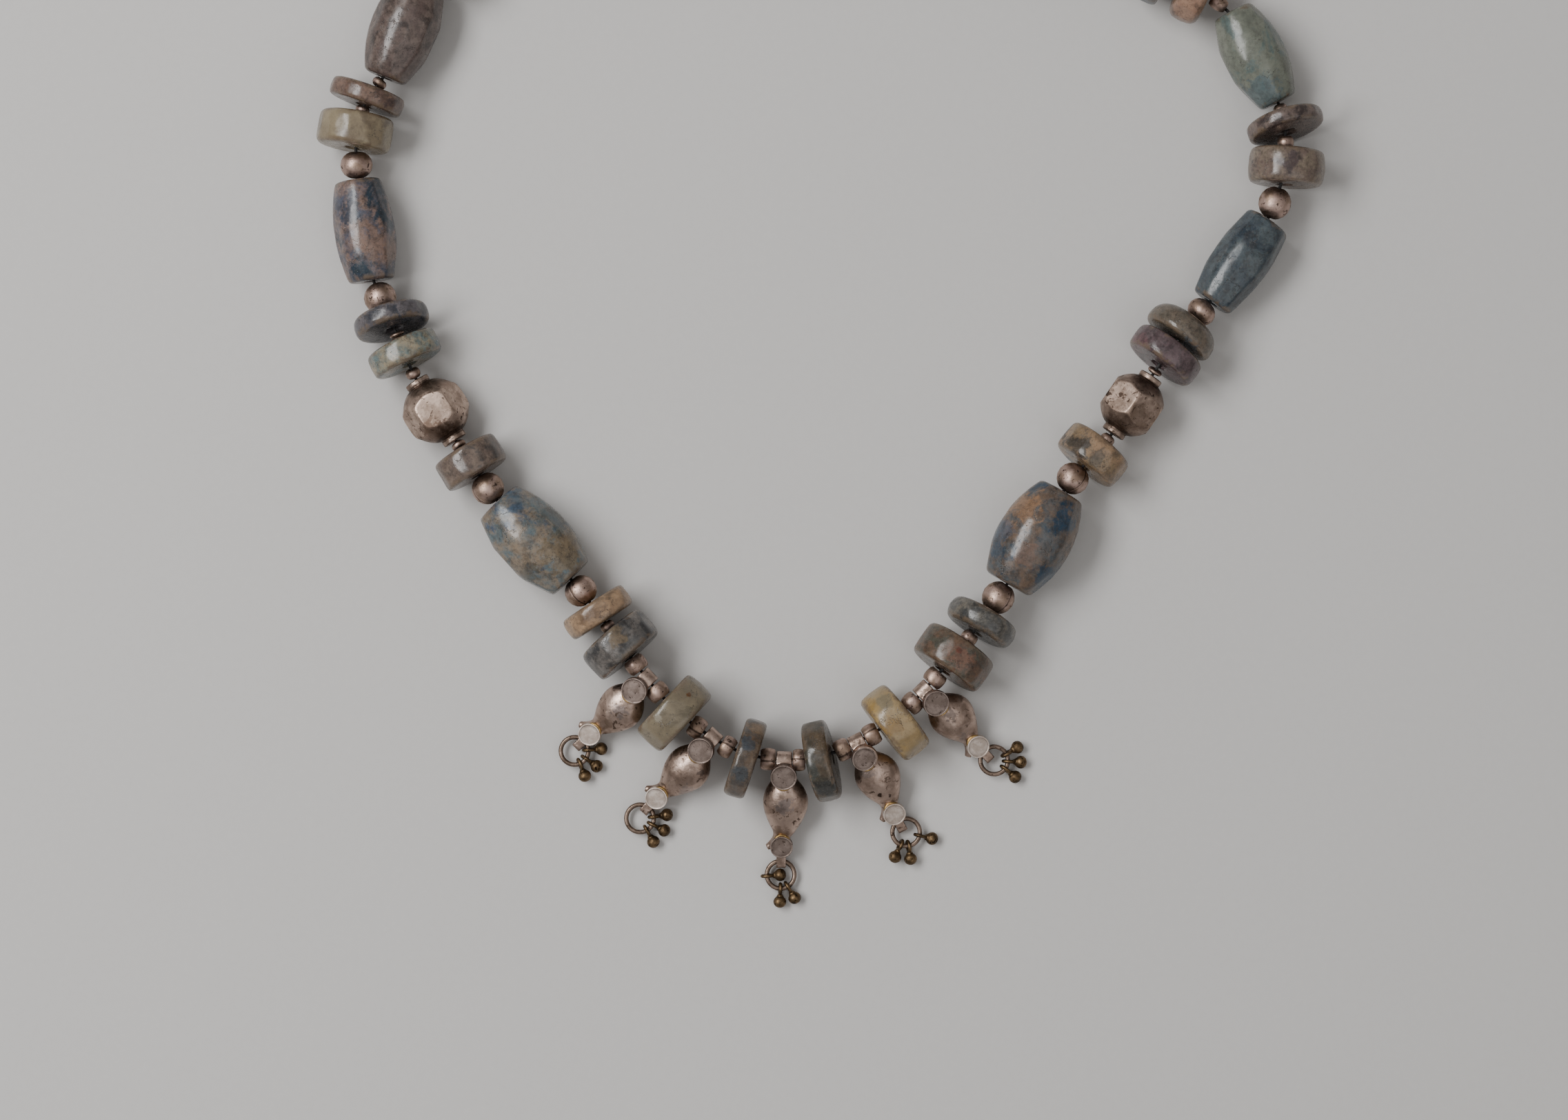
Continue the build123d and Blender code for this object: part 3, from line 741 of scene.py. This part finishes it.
@dataclass
class FacetedBead:
    """A hollow silver bead: a worn ball with flats ground round it and a collar on each end."""

    node: str
    seed: float
    turn: float  # degrees from its top to the nearest flat
    spots: tuple[Spot, ...]
    # dull also paints a highlight: the ridges between flats stay bright against the darker flats
    dull: float  # how dark the flats are, apart from the ridges between them
    flats: int = 6
    bore: float = 0.7
    shoulder: float = 5.6  # from the middle to the collar, in millimetres
    grain: float = 0.2
    ball: tuple[tuple[float, float], ...] = (
        (0.0, 6.30), (1.2, 6.25), (2.0, 6.13), (2.5, 5.98), (2.85, 5.66), (3.3, 5.30), (3.9, 4.85),
        (4.5, 4.27), (5.0, 3.68), (5.4, 3.05), (5.6, 2.55))
    collar: tuple[tuple[float, float], ...] = (
        (5.65, 2.10), (5.85, 2.10), (5.95, 2.35), (6.15, 2.47), (6.35, 2.40), (6.45, 2.30),
        (6.58, 2.42), (6.80, 2.42), (6.90, 2.20))

    def build(self) -> None:
        """Model the bead and put it in its place."""
        seat = Seat.of(Solid.of(frame["nodes"][self.node]))
        scale = seat.half / self.collar[-1][0]
        half = [(station * scale, radius * scale) for station, radius in (*self.ball, *self.collar)]
        outline = [(-station, radius) for station, radius in reversed(half[1:])] + half
        apothem = half[0][1] * math.cos(math.pi / self.flats)
        piece = Bench.lathe(outline, self.bore, 72)
        ways = [Matrix.Rotation(2 * math.pi * index / self.flats, 3, "Z") @ Vector((1, 0, 0))
                for index in range(self.flats)]
        Bench.grind(piece, [(way * apothem, way) for way in ways])
        Bench.soften(piece, self.grain)
        Bench.mark(piece, "dirt_and_shade", lambda spot: self.dirt_and_shade_share(spot, ways, apothem, scale))
        Bench.place(piece, seat.matrix(self.turn))
        silver = Metal.FLAT_SILVER.value.material(f"silver_{self.node}", self.seed, self.spots)
        Bench.dress(piece, f"ball_{self.node}", silver, "silver", self.node)

    def dirt_and_shade_share(self, spot: Vector, ways: list[Vector], apothem: float, scale: float) -> float:
        """How dark a point is: least on the ridges between flats, which paints a highlight along them, and
        most beside the collars.

        Args:
            spot: The point.
            ways: Outward directions of the flats.
            apothem: From the bore's axis to each flat.
            scale: Size of the bead, against the plain one.

        Returns:
            A share from 0 to 1.
        """
        off_next, off_flat = sorted(apothem - spot.dot(way) for way in ways)[1::-1]
        beyond = abs(spot.z) / scale
        if beyond > self.shoulder + 0.4:
            return 0.5
        slope = min(1.0, max(0.0, (off_flat - 0.05) / 0.6))
        # flats darker than the ridges between them, a painted highlight along the ridges
        face = self.dull * min(1.0, max(0.0, (off_next - 0.1) / 0.5))
        return max(face, 0.55 * slope) if beyond < self.shoulder - 0.5 else 1.0


@dataclass
class SilverBeads:
    """All the small turned silver beads of one kind, each with a soldered seam."""

    node: str
    name: str
    rings: tuple[float, ...]
    sides: int = 40
    seam: float = 0.09  # width and depth of the seam in millimetres
    soft: float = 0.12  # width of the rounded edges
    dark: float = 0.9  # width of the dark ring round the bore
    seams: tuple[Seam, ...] = ()  # beads whose seam shows

    def bead(self, seat: Seat, roll: float) -> Piece:
        """Model one bead on its seat.

        Args:
            seat: Where it lies.
            roll: Degrees from its top to its seam.

        Returns:
            The bead.
        """
        piece = Bench.lathe(seat.outline(self.rings), seat.bore, self.sides)
        self.cut_seam(piece, seat)
        Bench.modify(piece, "BEVEL", width=self.soft, segments=2, angle_limit=math.radians(50))
        Bench.mark(piece, "dirt_and_shade", lambda spot: self.dirt_and_shade_share(spot, seat.bore))
        Bench.place(piece, seat.matrix(roll))
        return piece

    def dirt_and_shade_share(self, spot: Vector, bore: float) -> float:
        """How dark a point is: dark in the seam and round the bore."""
        if abs(spot.y) < 1.2 * self.seam and spot.x > 0:
            return 1.0
        return 0.7 * max(0.0, 1.0 - (spot.xy.length - bore) / self.dark)

    def cut_seam(self, piece: Piece, seat: Seat) -> None:
        """Sink a thin groove along one meridian of a bead."""
        Bench.edit(select=False)
        Bench.close()
        step = math.pi / self.sides
        for edge in piece.data.edges:
            ends = [piece.data.vertices[i].co for i in edge.vertices]
            on_line = all(abs(math.atan2(end.y, end.x)) < step * 0.5 for end in ends)
            outside = all(end.xy.length > seat.bore * 1.15 for end in ends)
            edge.select = on_line and outside
        Bench.edit("EDGE", None)
        bpy.ops.mesh.bevel(offset=self.seam, segments=1, affect="EDGES")
        bpy.ops.mesh.select_mode(type="FACE")
        bpy.ops.mesh.extrude_region_shrink_fatten(
            TRANSFORM_OT_shrink_fatten={"value": -1.4 * self.seam})
        Bench.close()

    def build(self) -> None:
        """Model every bead of the node as one piece."""
        chance = Random(len(self.node))
        pieces = []
        for solid in Solid.loose(self.node):
            seat = Seat.of(solid)
            roll = chance.uniform(70, 290)
            for seam in self.seams:
                if (seat.middle.xy / MILLIMETRE - Vector((seam.x, seam.y))).length < seam.reach:
                    roll = seam.turn
            pieces.append(self.bead(seat, roll))
        piece = Bench.join(pieces)
        silver = Metal.BEAD_SILVER.value.material(self.name, float(len(self.node)))
        Bench.dress(piece, self.name, silver, "silver", self.node)


@dataclass
class Bells:
    """The brass bells of every ring: a cast ball on a wire loop, modelled once and copied."""

    ball: float = 1.25  # radii in millimetres
    loop: float = 1.0
    wire: float = 0.35
    reach: float = 2.4  # from the loop's middle to the ball's
    low: float = 0.04  # how much lower than that the ball sits
    flat: float = 0.94  # length of the ball along the bell, against its width
    neck: tuple[float, float, float] = (0.66, 0.45, 0.4)  # its two radii and its height
    grain: float = 0.11

    def pattern(self) -> Piece:
        """One bell with its loop round the origin in the XZ plane and its ball along X."""
        Bench.clear()
        bpy.ops.mesh.primitive_uv_sphere_add(segments=32, ring_count=20, radius=self.ball)
        ball = bpy.context.object
        Bench.edit()
        bpy.ops.transform.resize(value=(self.flat, 1, 1))
        bpy.ops.transform.translate(value=(self.reach + self.low, 0, 0))
        Bench.close()
        bpy.ops.mesh.primitive_torus_add(
            major_radius=self.loop, minor_radius=self.wire, rotation=(math.pi / 2, 0, 0),
            major_segments=36, minor_segments=14)
        loop = bpy.context.object
        wide, narrow, high = self.neck
        bpy.ops.mesh.primitive_cone_add(
            vertices=24, radius1=wide, radius2=narrow, depth=high,
            location=(self.reach - self.ball, 0, 0), rotation=(0, -math.pi / 2, 0))
        neck = bpy.context.object
        bell = Bench.join([ball, loop, neck])
        bpy.ops.object.transform_apply()
        Bench.soften(bell, self.grain)
        return bell

    def frame_of(self, solid: Solid) -> Matrix:
        """Frame of one bell: X from its loop to its ball and Y square to the loop.

        Args:
            solid: The bell's solid.

        Returns:
            The frame, in metres.
        """
        middles, _, areas = solid.patches()
        centre = solid.centre()
        off = middles - centre
        axes = np.linalg.eigh((off.T * areas) @ off)[1]
        ahead, square = axes[:, 2], axes[:, 0]
        along = (solid.points - centre) @ ahead
        wide = np.abs((solid.points - centre) @ square)
        if wide[along > 0].max() < wide[along < 0].max():
            ahead, along = -ahead, -along
        tip = centre + ahead * along.max()
        middle = tip - ahead * (self.reach + self.ball) * MILLIMETRE
        x, y = Vector(ahead), Vector(square)
        return frame_at(Vector(middle), x, y, x.cross(y))

    def build(self) -> None:
        """Model the bells of every ring."""
        pattern = self.pattern()
        for number in range(1, 6):
            node = f"bells_{number}"
            bells = []
            for solid in Solid.loose(node):
                bell = Bench.copy_of(pattern)
                Bench.place(bell, self.frame_of(solid))
                bells.append(bell)
            piece = Bench.join(bells)
            brass = Metal.BRASS.value.material(f"brass_{number}", 5.3 * number)
            Bench.dress(piece, f"ring_bells_{number}", brass, "brass", node)
        bpy.data.objects.remove(pattern)


@dataclass
class CastSilver:
    """A silver node whose soldered joints and edges are softened as cast metal is."""

    node: str
    seed: float
    grain: float
    metal: Metal = Metal.SILVER
    spots: tuple[Spot, ...] = ()

    def build(self) -> None:
        """Model the softened piece from a merged copy of the node."""
        piece = Bench.copy_of(frame["nodes"][self.node])
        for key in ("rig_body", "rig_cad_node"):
            if key in piece:
                del piece[key]
        piece.parent = None
        Bench.edit()
        bpy.ops.mesh.remove_doubles(threshold=WELD * MILLIMETRE)
        Bench.close()
        piece.matrix_world = Matrix.Scale(1 / MILLIMETRE, 4)
        bpy.ops.object.transform_apply()
        Bench.soften(piece, self.grain)
        Bench.place(piece, Matrix.Identity(4))
        silver = self.metal.value.material(f"silver_{self.node}", self.seed, self.spots)
        Bench.dress(piece, f"cast_{self.node}", silver, "silver", self.node)


@dataclass
class Coin:
    """One coin of a drop: the middle of its face in metres and its radius in millimetres."""

    face: Vector
    radius: float


@dataclass
class DropTrim:
    """The two silver coins on a mango drop, with the gold-coloured solder that holds them."""

    number: int
    tail_metal: Metal
    edge: float = 0.2  # rounding of the solid's coins, in millimetres
    cover: float = 0.02  # how much wider than the solid's coins these are
    proud: float = 0.12  # how far they stand above them
    thick: float = 1.3
    rim: float = 0.2
    step: float = 0.1  # width of the slope from the rim down to the face
    hollow: float = 0.09  # how far the face lies below the rim
    rise: float = 0.02  # how far it rises again towards its middle
    dull: float = 0.3  # how dark the coins' faces are against their rims
    solder: float = 0.28  # radius of the solder's bead
    lap: float = 0.12  # how far its middle lies inside the coin's edge
    shift: float = 0.34  # how far it is moved to the side where it shows
    swell: tuple[float, float, float] = (0.97, 0.80, 1.5)  # down the drop, across and upwards
    beds: tuple[float, float] = (0.4, 0.6)  # from the head's and the tail's face down to it
    front: Vector = field(init=False)
    coins: list[Coin] = field(init=False)

    def __post_init__(self) -> None:
        """Find the coins' faces, which are the largest flats of the drop."""
        drop = Solid.of(frame["nodes"][f"mango_drop_{self.number}"])
        middles, normals, areas = drop.patches()
        ways = normals / (areas[:, None] + 1e-18)
        upward = ways[:, 2] > 0.7
        keys, where = np.unique(np.round(ways[upward], 3), axis=0, return_inverse=True)
        totals = np.bincount(where.ravel(), areas[upward])
        front = keys[totals.argmax()]
        front = front / np.linalg.norm(front)
        flat = ways @ front > 0.9999
        middles, areas = middles[flat], areas[flat]
        heights = np.round(middles @ front / MILLIMETRE, 2)
        level_of = np.unique(heights, return_inverse=True)[1].ravel()
        self.front = Vector(front)
        self.coins = []
        for level in np.bincount(level_of, areas).argsort()[-2:][::-1]:
            here = level_of == level
            face = (middles[here] * areas[here, None]).sum(0) / areas[here].sum()
            radius = math.sqrt(areas[here].sum() / math.pi) / MILLIMETRE + self.edge
            self.coins.append(Coin(Vector(face), radius))

    def matrix(self, coin: Coin) -> Matrix:
        """Frame on a coin's face, with Z out of it and X down the drop."""
        down = self.coins[1].face - self.coins[0].face
        down = (down - self.front * down.dot(self.front)).normalized()
        return frame_at(coin.face, down, self.front.cross(down), self.front)

    def coin(self, coin: Coin) -> Piece:
        """Model one coin: a disc with a raised rim and a slightly hollow face."""
        Bench.clear()
        radius = coin.radius + self.cover
        bpy.ops.mesh.primitive_cylinder_add(
            vertices=56, radius=radius, depth=self.thick,
            location=(0, 0, self.proud - self.thick / 2))
        piece = bpy.context.object
        bpy.ops.object.transform_apply()
        Bench.edit("FACE", False)
        Bench.close()
        for face in piece.data.polygons:
            face.select = face.normal.z > 0.9
        Bench.edit("FACE", None)
        bpy.ops.mesh.inset(thickness=self.rim)
        bpy.ops.mesh.inset(thickness=self.step)
        bpy.ops.transform.translate(value=(0, 0, -self.hollow))
        bpy.ops.mesh.inset(thickness=0.5)
        bpy.ops.transform.translate(value=(0, 0, self.rise))
        Bench.close()
        Bench.modify(piece, "BEVEL", width=0.05, segments=3, angle_limit=math.radians(20))
        Bench.mark(piece, "dirt_and_shade", lambda spot: self.dirt_and_shade_share(spot, radius))
        Bench.place(piece, self.matrix(coin))
        return piece

    def dirt_and_shade_share(self, spot: Vector, radius: float) -> float:
        """How dark a point of a coin is: dull on the face, bright on the rim, painted shade and dirt in
        the groove inside the rim, dark down the side.
        """
        inward = radius - spot.xy.length
        if spot.z < self.proud - 0.3:
            return 0.75
        if inward < self.rim + 0.02:
            return 0.0
        # the groove inside the rim is darkened as painted shade and dirt
        return 0.65 if inward < self.rim + self.step + 0.08 else self.dull

    def solder_bead(self, coin: Coin, side: int, bed: float) -> Piece:
        """Model the solder that swells out at one side of a coin.

        Args:
            coin: The coin.
            side: 1 for the side towards the tail and -1 towards the head.
            bed: How far below the coin's face it lies.

        Returns:
            The bead of solder.
        """
        Bench.clear()
        bpy.ops.mesh.primitive_torus_add(
            major_radius=coin.radius - self.lap, minor_radius=self.solder,
            major_segments=48, minor_segments=12)
        piece = bpy.context.object
        Bench.edit()
        bpy.ops.transform.translate(value=(self.shift * side, 0, -bed))
        bpy.ops.transform.resize(value=self.swell, center_override=(0, 0, -bed))
        Bench.close()
        Bench.place(piece, self.matrix(coin))
        return piece

    def build(self) -> None:
        """Model both coins and their solder, as pieces of their own."""
        head, tail = self.coins
        pieces = {
            f"head_coin_{self.number}": ([self.coin(head)], Metal.HEAD_COIN),
            f"tail_coin_{self.number}": ([self.coin(tail)], self.tail_metal),
            f"solder_{self.number}": (
                [self.solder_bead(head, 1, self.beds[0]), self.solder_bead(tail, -1, self.beds[1])],
                Metal.SOLDER),
        }
        for seed, (name, (parts, metal)) in enumerate(pieces.items()):
            piece = Bench.join(parts)
            Bench.dress(piece, name, metal.value.material(name, 3.3 * self.number + seed), "silver")


@dataclass
class Studio:
    """The pale table, the soft lights and the camera above them."""

    floor: str = "c9c7c5"
    fleck: str = "a9a6a3"
    camera_place: tuple[float, float, float] = (-0.00703, -0.0376, 0.838)
    lens: float = 100.0

    def build(self) -> None:
        """Set up the table, the lights and the camera."""
        Bench.clear()
        bpy.ops.mesh.primitive_plane_add(size=6.0)
        table = bpy.context.object
        table.name = "table"
        mix = Recipe("pale_table", self.floor)
        mix.paint(self.fleck, mix.between(mix.clouds(1.5, 4, 0.6), 0.3, 0.7, 0.0, 0.06))
        table.data.materials.append(mix.finish(Roughness=0.85))
        self.light("key", (-0.57, 0.17, 0.80), 0.85, 0.35, 9.5)
        self.light("fill", (0.55, -0.55, 1.0), 1.0, 1.0, 2.0)
        self.light("top", (0.05, 0.0, 1.4), 1.4, 1.4, 2.0)
        world = bpy.data.worlds.new("studio")
        world.use_nodes = True
        glow = world.node_tree.nodes["Background"].inputs
        glow["Color"].default_value, glow["Strength"].default_value = tone("8a8886"), 1.1
        bpy.context.scene.world = world
        self.camera()

    def light(self, name: str, spot: tuple[float, float, float], wide: float, high: float,
              power: float) -> None:
        """Hang a soft box that looks at the middle of the table.

        Args:
            name: Name of the light.
            spot: Where it hangs, in metres.
            wide: Its width.
            high: Its height.
            power: Its power in watts.
        """
        lamp = bpy.data.lights.new(name, "AREA")
        lamp.shape, lamp.size, lamp.size_y, lamp.energy = "RECTANGLE", wide, high, power
        turn = (-Vector(spot)).to_track_quat("-Z", "Y").to_euler()
        self.hang(name, lamp, spot).rotation_euler = turn

    def camera(self) -> None:
        """Hang the camera straight above the necklace, with the front towards it."""
        lens = bpy.data.cameras.new("camera")
        lens.lens, lens.sensor_width = self.lens, 36.0
        bpy.context.scene.camera = self.hang("camera", lens, self.camera_place)

    def hang(self, name: str, data: bpy.types.ID, spot: tuple[float, float, float]) -> bpy.types.Object:
        """Put a light or a camera at a place, facing straight down."""
        holder = bpy.data.objects.new(name, data)
        bpy.context.scene.collection.objects.link(holder)
        holder.location = spot
        return holder


ROUND_SEAMS = (
    Seam(-45.0, -43.7, 30), Seam(32.1, -45.0, 40), Seam(47.1, -22.9, 35), Seam(-62.6, -24.8, 60),
)
SPACER_SEAMS = (
    Seam(-10.1, -76.0, 8), Seam(-4.2, -75.9, -8), Seam(9.5, -71.7, -25), Seam(3.9, -74.6, 30),
    Seam(-24.7, -69.9, 20), Seam(-18.1, -73.3, -15),
)
LEFT_STAINS = (
    Spot(-73.7, -13.5, 3.2, "6a5446", 0.7), Spot(-71.4, -12.2, 1.6, "4a3a30", 0.6),
)
RIGHT_STAINS = (
    Spot(54.5, -5.7, 0.8, "2c1c12", 0.9), Spot(57.0, -6.0, 0.45, "2c1c12", 0.85),
    Spot(60.7, -10.6, 3.0, "6a5647", 0.5),
)

DROP_STAINS: dict[int, tuple[Spot, ...]] = {
    1: (Spot(-38.4, -66.3, 1.6, "77757a", 0.45), Spot(-40.5, -69.0, 1.2, "6b5744", 0.4)),
    2: (Spot(-22.9, -78.2, 0.8, "49403c", 0.7), Spot(-25.6, -82.0, 1.7, "757276", 0.4)),
    3: (Spot(-7.0, -84.6, 1.9, "706d70", 0.5), Spot(-8.0, -89.5, 1.1, "6a5542", 0.5)),
    4: (Spot(11.3, -82.4, 0.45, "33241a", 0.9), Spot(13.2, -82.6, 0.4, "33241a", 0.8),
        Spot(8.8, -78.0, 1.7, "737073", 0.4)),
    5: (Spot(24.8, -67.1, 1.5, "544e4c", 0.6), Spot(27.5, -71.5, 1.4, "747073", 0.4)),
}

STONES: dict[str, tuple[StoneFinish, str]] = {
    "disc_left_1": (StoneFinish("584737", "484543", "6c5843", spots=(
        Spot(-13.8, -72.2, 1.6, "31404c", 0.6), Spot(-15.1, -78.0, 1.8, "39434a", 0.55))), "stone_blue"),
    "disc_left_2": (StoneFinish("6c6251", "7a6f5b", "595141", 1.3, 0.4, grain=0.12, spots=(
        Spot(-25.0, -63.0, 0.55, "5d3d1f", 0.95), Spot(-30.9, -67.6, 1.3, "9a9384", 0.6))), "stone_olive"),
    "disc_left_3": (StoneFinish("504f4e", "6c6661", "363637", 1.1, 0.6, spots=(
        Spot(-38.6, -52.1, 2.0, "6b5b45", 0.75), Spot(-36.2, -56.0, 1.6, "5e5242", 0.7))), "stone_dark"),
    "disc_left_4": (StoneFinish("92785f", "a6896c", "765f4b", 1.0, 0.4, grain=0.35), "stone_tan"),
    "disc_left_5": (StoneFinish("5e5049", "74655a", "48423f"), "stone_tan"),
    "disc_left_6": (StoneFinish("5e6f6f", "8f836d", "485d63", 0.8, spots=(
        Spot(-75.9, -0.3, 2.6, "6f6046", 0.7),)), "stone_green"),
    "disc_left_7": (StoneFinish("4b494e", "625d60", "33363e", 0.8, 0.6), "stone_mauve"),
    "disc_left_8": (StoneFinish("786b57", "867a63", "635747", 1.2, 0.4, grain=0.15, spots=(
        Spot(-90.5, 41.9, 2.6, "66574a", 0.5),)), "stone_olive"),
    "disc_left_9": (StoneFinish("604c43", "755d50", "463633", 0.7), "stone_mauve"),
    "disc_left_10": (StoneFinish("796653", "8d7b66", "605749"), "stone_olive"),
    "disc_right_1": (StoneFinish("403d34", "4f4336", "30312f", spots=(
        Spot(-0.2, -72.2, 2.4, "574938", 0.7), Spot(-1.7, -77.7, 1.8, "3d4240", 0.7))), "stone_green"),
    "disc_right_2": (StoneFinish("97805a", "8f7d5f", "a48959", 1.4, grain=0.2, spots=(
        Spot(8.8, -65.4, 2.2, "91743d", 0.65), Spot(11.9, -64.5, 1.8, "6d6a5c", 0.6),
        Spot(13.4, -68.9, 2.4, "86683c", 0.6))), "stone_olive"),
    "disc_right_3": (StoneFinish("48463c", "644b3a", "4a2e1e", 0.9, 0.35, spots=(
        Spot(26.5, -55.7, 3.0, "6f4f3f", 0.8), Spot(26.0, -54.7, 0.8, "5c2a17", 0.85),
        Spot(24.8, -58.3, 0.7, "5c2a17", 0.8))), "stone_green"),
    "disc_right_4": (StoneFinish("50504f", "6c665c", "353635", 0.8, 0.6), "stone_dark"),
    "disc_right_5": (StoneFinish("816d54", "91765c", "565553", 1.2, spots=(
        Spot(48.7, -15.8, 2.9, "35332f", 0.85), Spot(52.4, -18.4, 2.0, "4a4740", 0.6))), "stone_tan"),
    "disc_right_6": (StoneFinish("524346", "635255", "392c2f", 0.7, spots=(
        Spot(60.8, 3.6, 2.2, "67474a", 0.6),)), "stone_mauve"),
    "disc_right_7": (StoneFinish("6a5a52", "7b6e5f", "4b3f3e", 0.8), "stone_mauve"),
    "disc_right_8": (StoneFinish("5c4f4b", "72635b", "3c3231", 0.7), "stone_mauve"),
    "disc_right_9": (StoneFinish("8c6e5d", "9d7e6a", "6f5749"), "stone_tan"),
    "bun_stone_right": (StoneFinish("5a5349", "6d6053", "40403f", 0.9, spots=(
        Spot(69.8, 2.9, 1.7, "4f5860", 0.65), Spot(63.4, 6.0, 1.8, "725b46", 0.6))), "stone_tan"),
    "barrel_left_1": (StoneFinish("536267", "817261", "3e4f62", 1.1, 0.45, spots=(
        Spot(-48.7, -36.5, 5.0, "6f604a"), Spot(-57.5, -26.4, 3.0, "414f5b", 0.5),
        Spot(-50.7, -29.4, 3.4, "3d4a4c", 0.6), Spot(-55.9, -40.4, 2.6, "4a4438", 0.6))), "stone_green"),
    "barrel_left_2": (StoneFinish("4b4e5b", "826b60", "24333f", spots=(
        Spot(-85.5, 22.4, 4.5, "7d6558"), Spot(-89.5, 28.2, 2.5, "233445", 0.8),
        Spot(-81.8, 17.2, 2.2, "233445", 0.7))), "stone_blue"),
    "barrel_left_3": (StoneFinish("544642", "685a53", "3e3431", 0.8), "stone_mauve"),
    "barrel_right_1": (StoneFinish("484e52", "675547", "183245", 1.1, 0.55, spots=(
        Spot(38.6, -27.9, 4.0, "8d6c50"), Spot(45.4, -30.7, 2.8, "1b3a50", 0.85),
        Spot(42.1, -40.2, 2.4, "1b3a50", 0.8), Spot(38.7, -36.9, 3.0, "6b5548"),
        Spot(34.2, -32.0, 2.6, "33465a", 0.6), Spot(33.6, -36.2, 1.9, "2a3d4e", 0.7))), "stone_blue"),
    "barrel_right_2": (StoneFinish("3a444c", "4a5458", "2a353f", 0.9), "stone_blue"),
    "barrel_right_3": (StoneFinish("676b61", "72756a", "586663", 1.0, 0.45, grain=0.3, spots=(
        Spot(84.0, 51.0, 4.0, "4f626a", 0.6),)), "stone_green"),
    "disc_back_1": (StoneFinish("4f575d", "796c5f", "394553"), "stone_blue"),
    "disc_back_2": (StoneFinish("796c5a", "8c7e68", "5e5547"), "stone_olive"),
    "disc_back_3": (StoneFinish("5a4949", "6e5b59", "403234"), "stone_mauve"),
    "disc_back_4": (StoneFinish("565b55", "746a59", "404949"), "stone_green"),
    "disc_back_5": (StoneFinish("7d6753", "907962", "615042"), "stone_tan"),
    "barrel_back_1": (StoneFinish("4c5762", "6d6f6b", "324153"), "stone_blue"),
    "barrel_back_2": (StoneFinish("5c6560", "7d705e", "425059"), "stone_green"),
    "barrel_back_3": (StoneFinish("5b4d4f", "746563", "433839"), "stone_mauve"),
}


def cut_of(node: str) -> Cut:
    """The shape that a stone is cut to, by its name."""
    if node.startswith("barrel"):
        return Cut.BARREL
    return Cut.BUN if node.startswith("bun") else Cut.DISC


def dress_node(node: str, material: bpy.types.Material) -> None:
    """Give a CAD node that stays as it is its finish.

    Args:
        node: The node.
        material: Its finish.
    """
    piece = frame["nodes"][node]
    piece.data.materials.clear()
    piece.data.materials.append(material)
    LOG.info("%s: finished with %s", node, material.name)


def main() -> None:
    """Build the necklace's pieces and the studio."""
    logging.basicConfig(level=logging.INFO, format="%(name)s: %(message)s")
    Studio().build()
    for seed, (node, (look, slot)) in enumerate(STONES.items(), start=1):
        GroundStone(node, look, slot, cut_of(node), seed).build()
    SilverBeads("round_beads", "round_silver_beads",
                (-1, -0.9, -0.7, -0.4, 0, 0.4, 0.7, 0.9, 1), seams=ROUND_SEAMS).build()
    SilverBeads("drop_spacers", "silver_spacers", (-1, -0.7, -0.35, 0, 0.35, 0.7, 1),
                seams=SPACER_SEAMS).build()
    SilverBeads("seed_beads", "silver_seeds", (-1, -0.6, 0, 0.6, 1), 28, 0.05).build()
    FacetedBead("faceted_bead_left", 7.7, 0.0, LEFT_STAINS, 0.15).build()
    FacetedBead("faceted_bead_right", 15.4, 28.0, RIGHT_STAINS, 0.55).build()
    Bells().build()
    for number in range(1, 6):
        CastSilver(f"mango_drop_{number}", 2.9 * number, 0.16, spots=DROP_STAINS[number]).build()
        DropTrim(number, Metal.HEAD_COIN if number == 3 else Metal.TAIL_COIN).build()
        CastSilver(f"jump_ring_{number}", 1.7 * number, 0.11, Metal.RING_SILVER).build()
    dress_node("barrel_clasp", Metal.SILVER.value.material("clasp", 41.0))
    dress_node("thread", ThreadFinish().material())


if __name__ == "__main__":
    main()
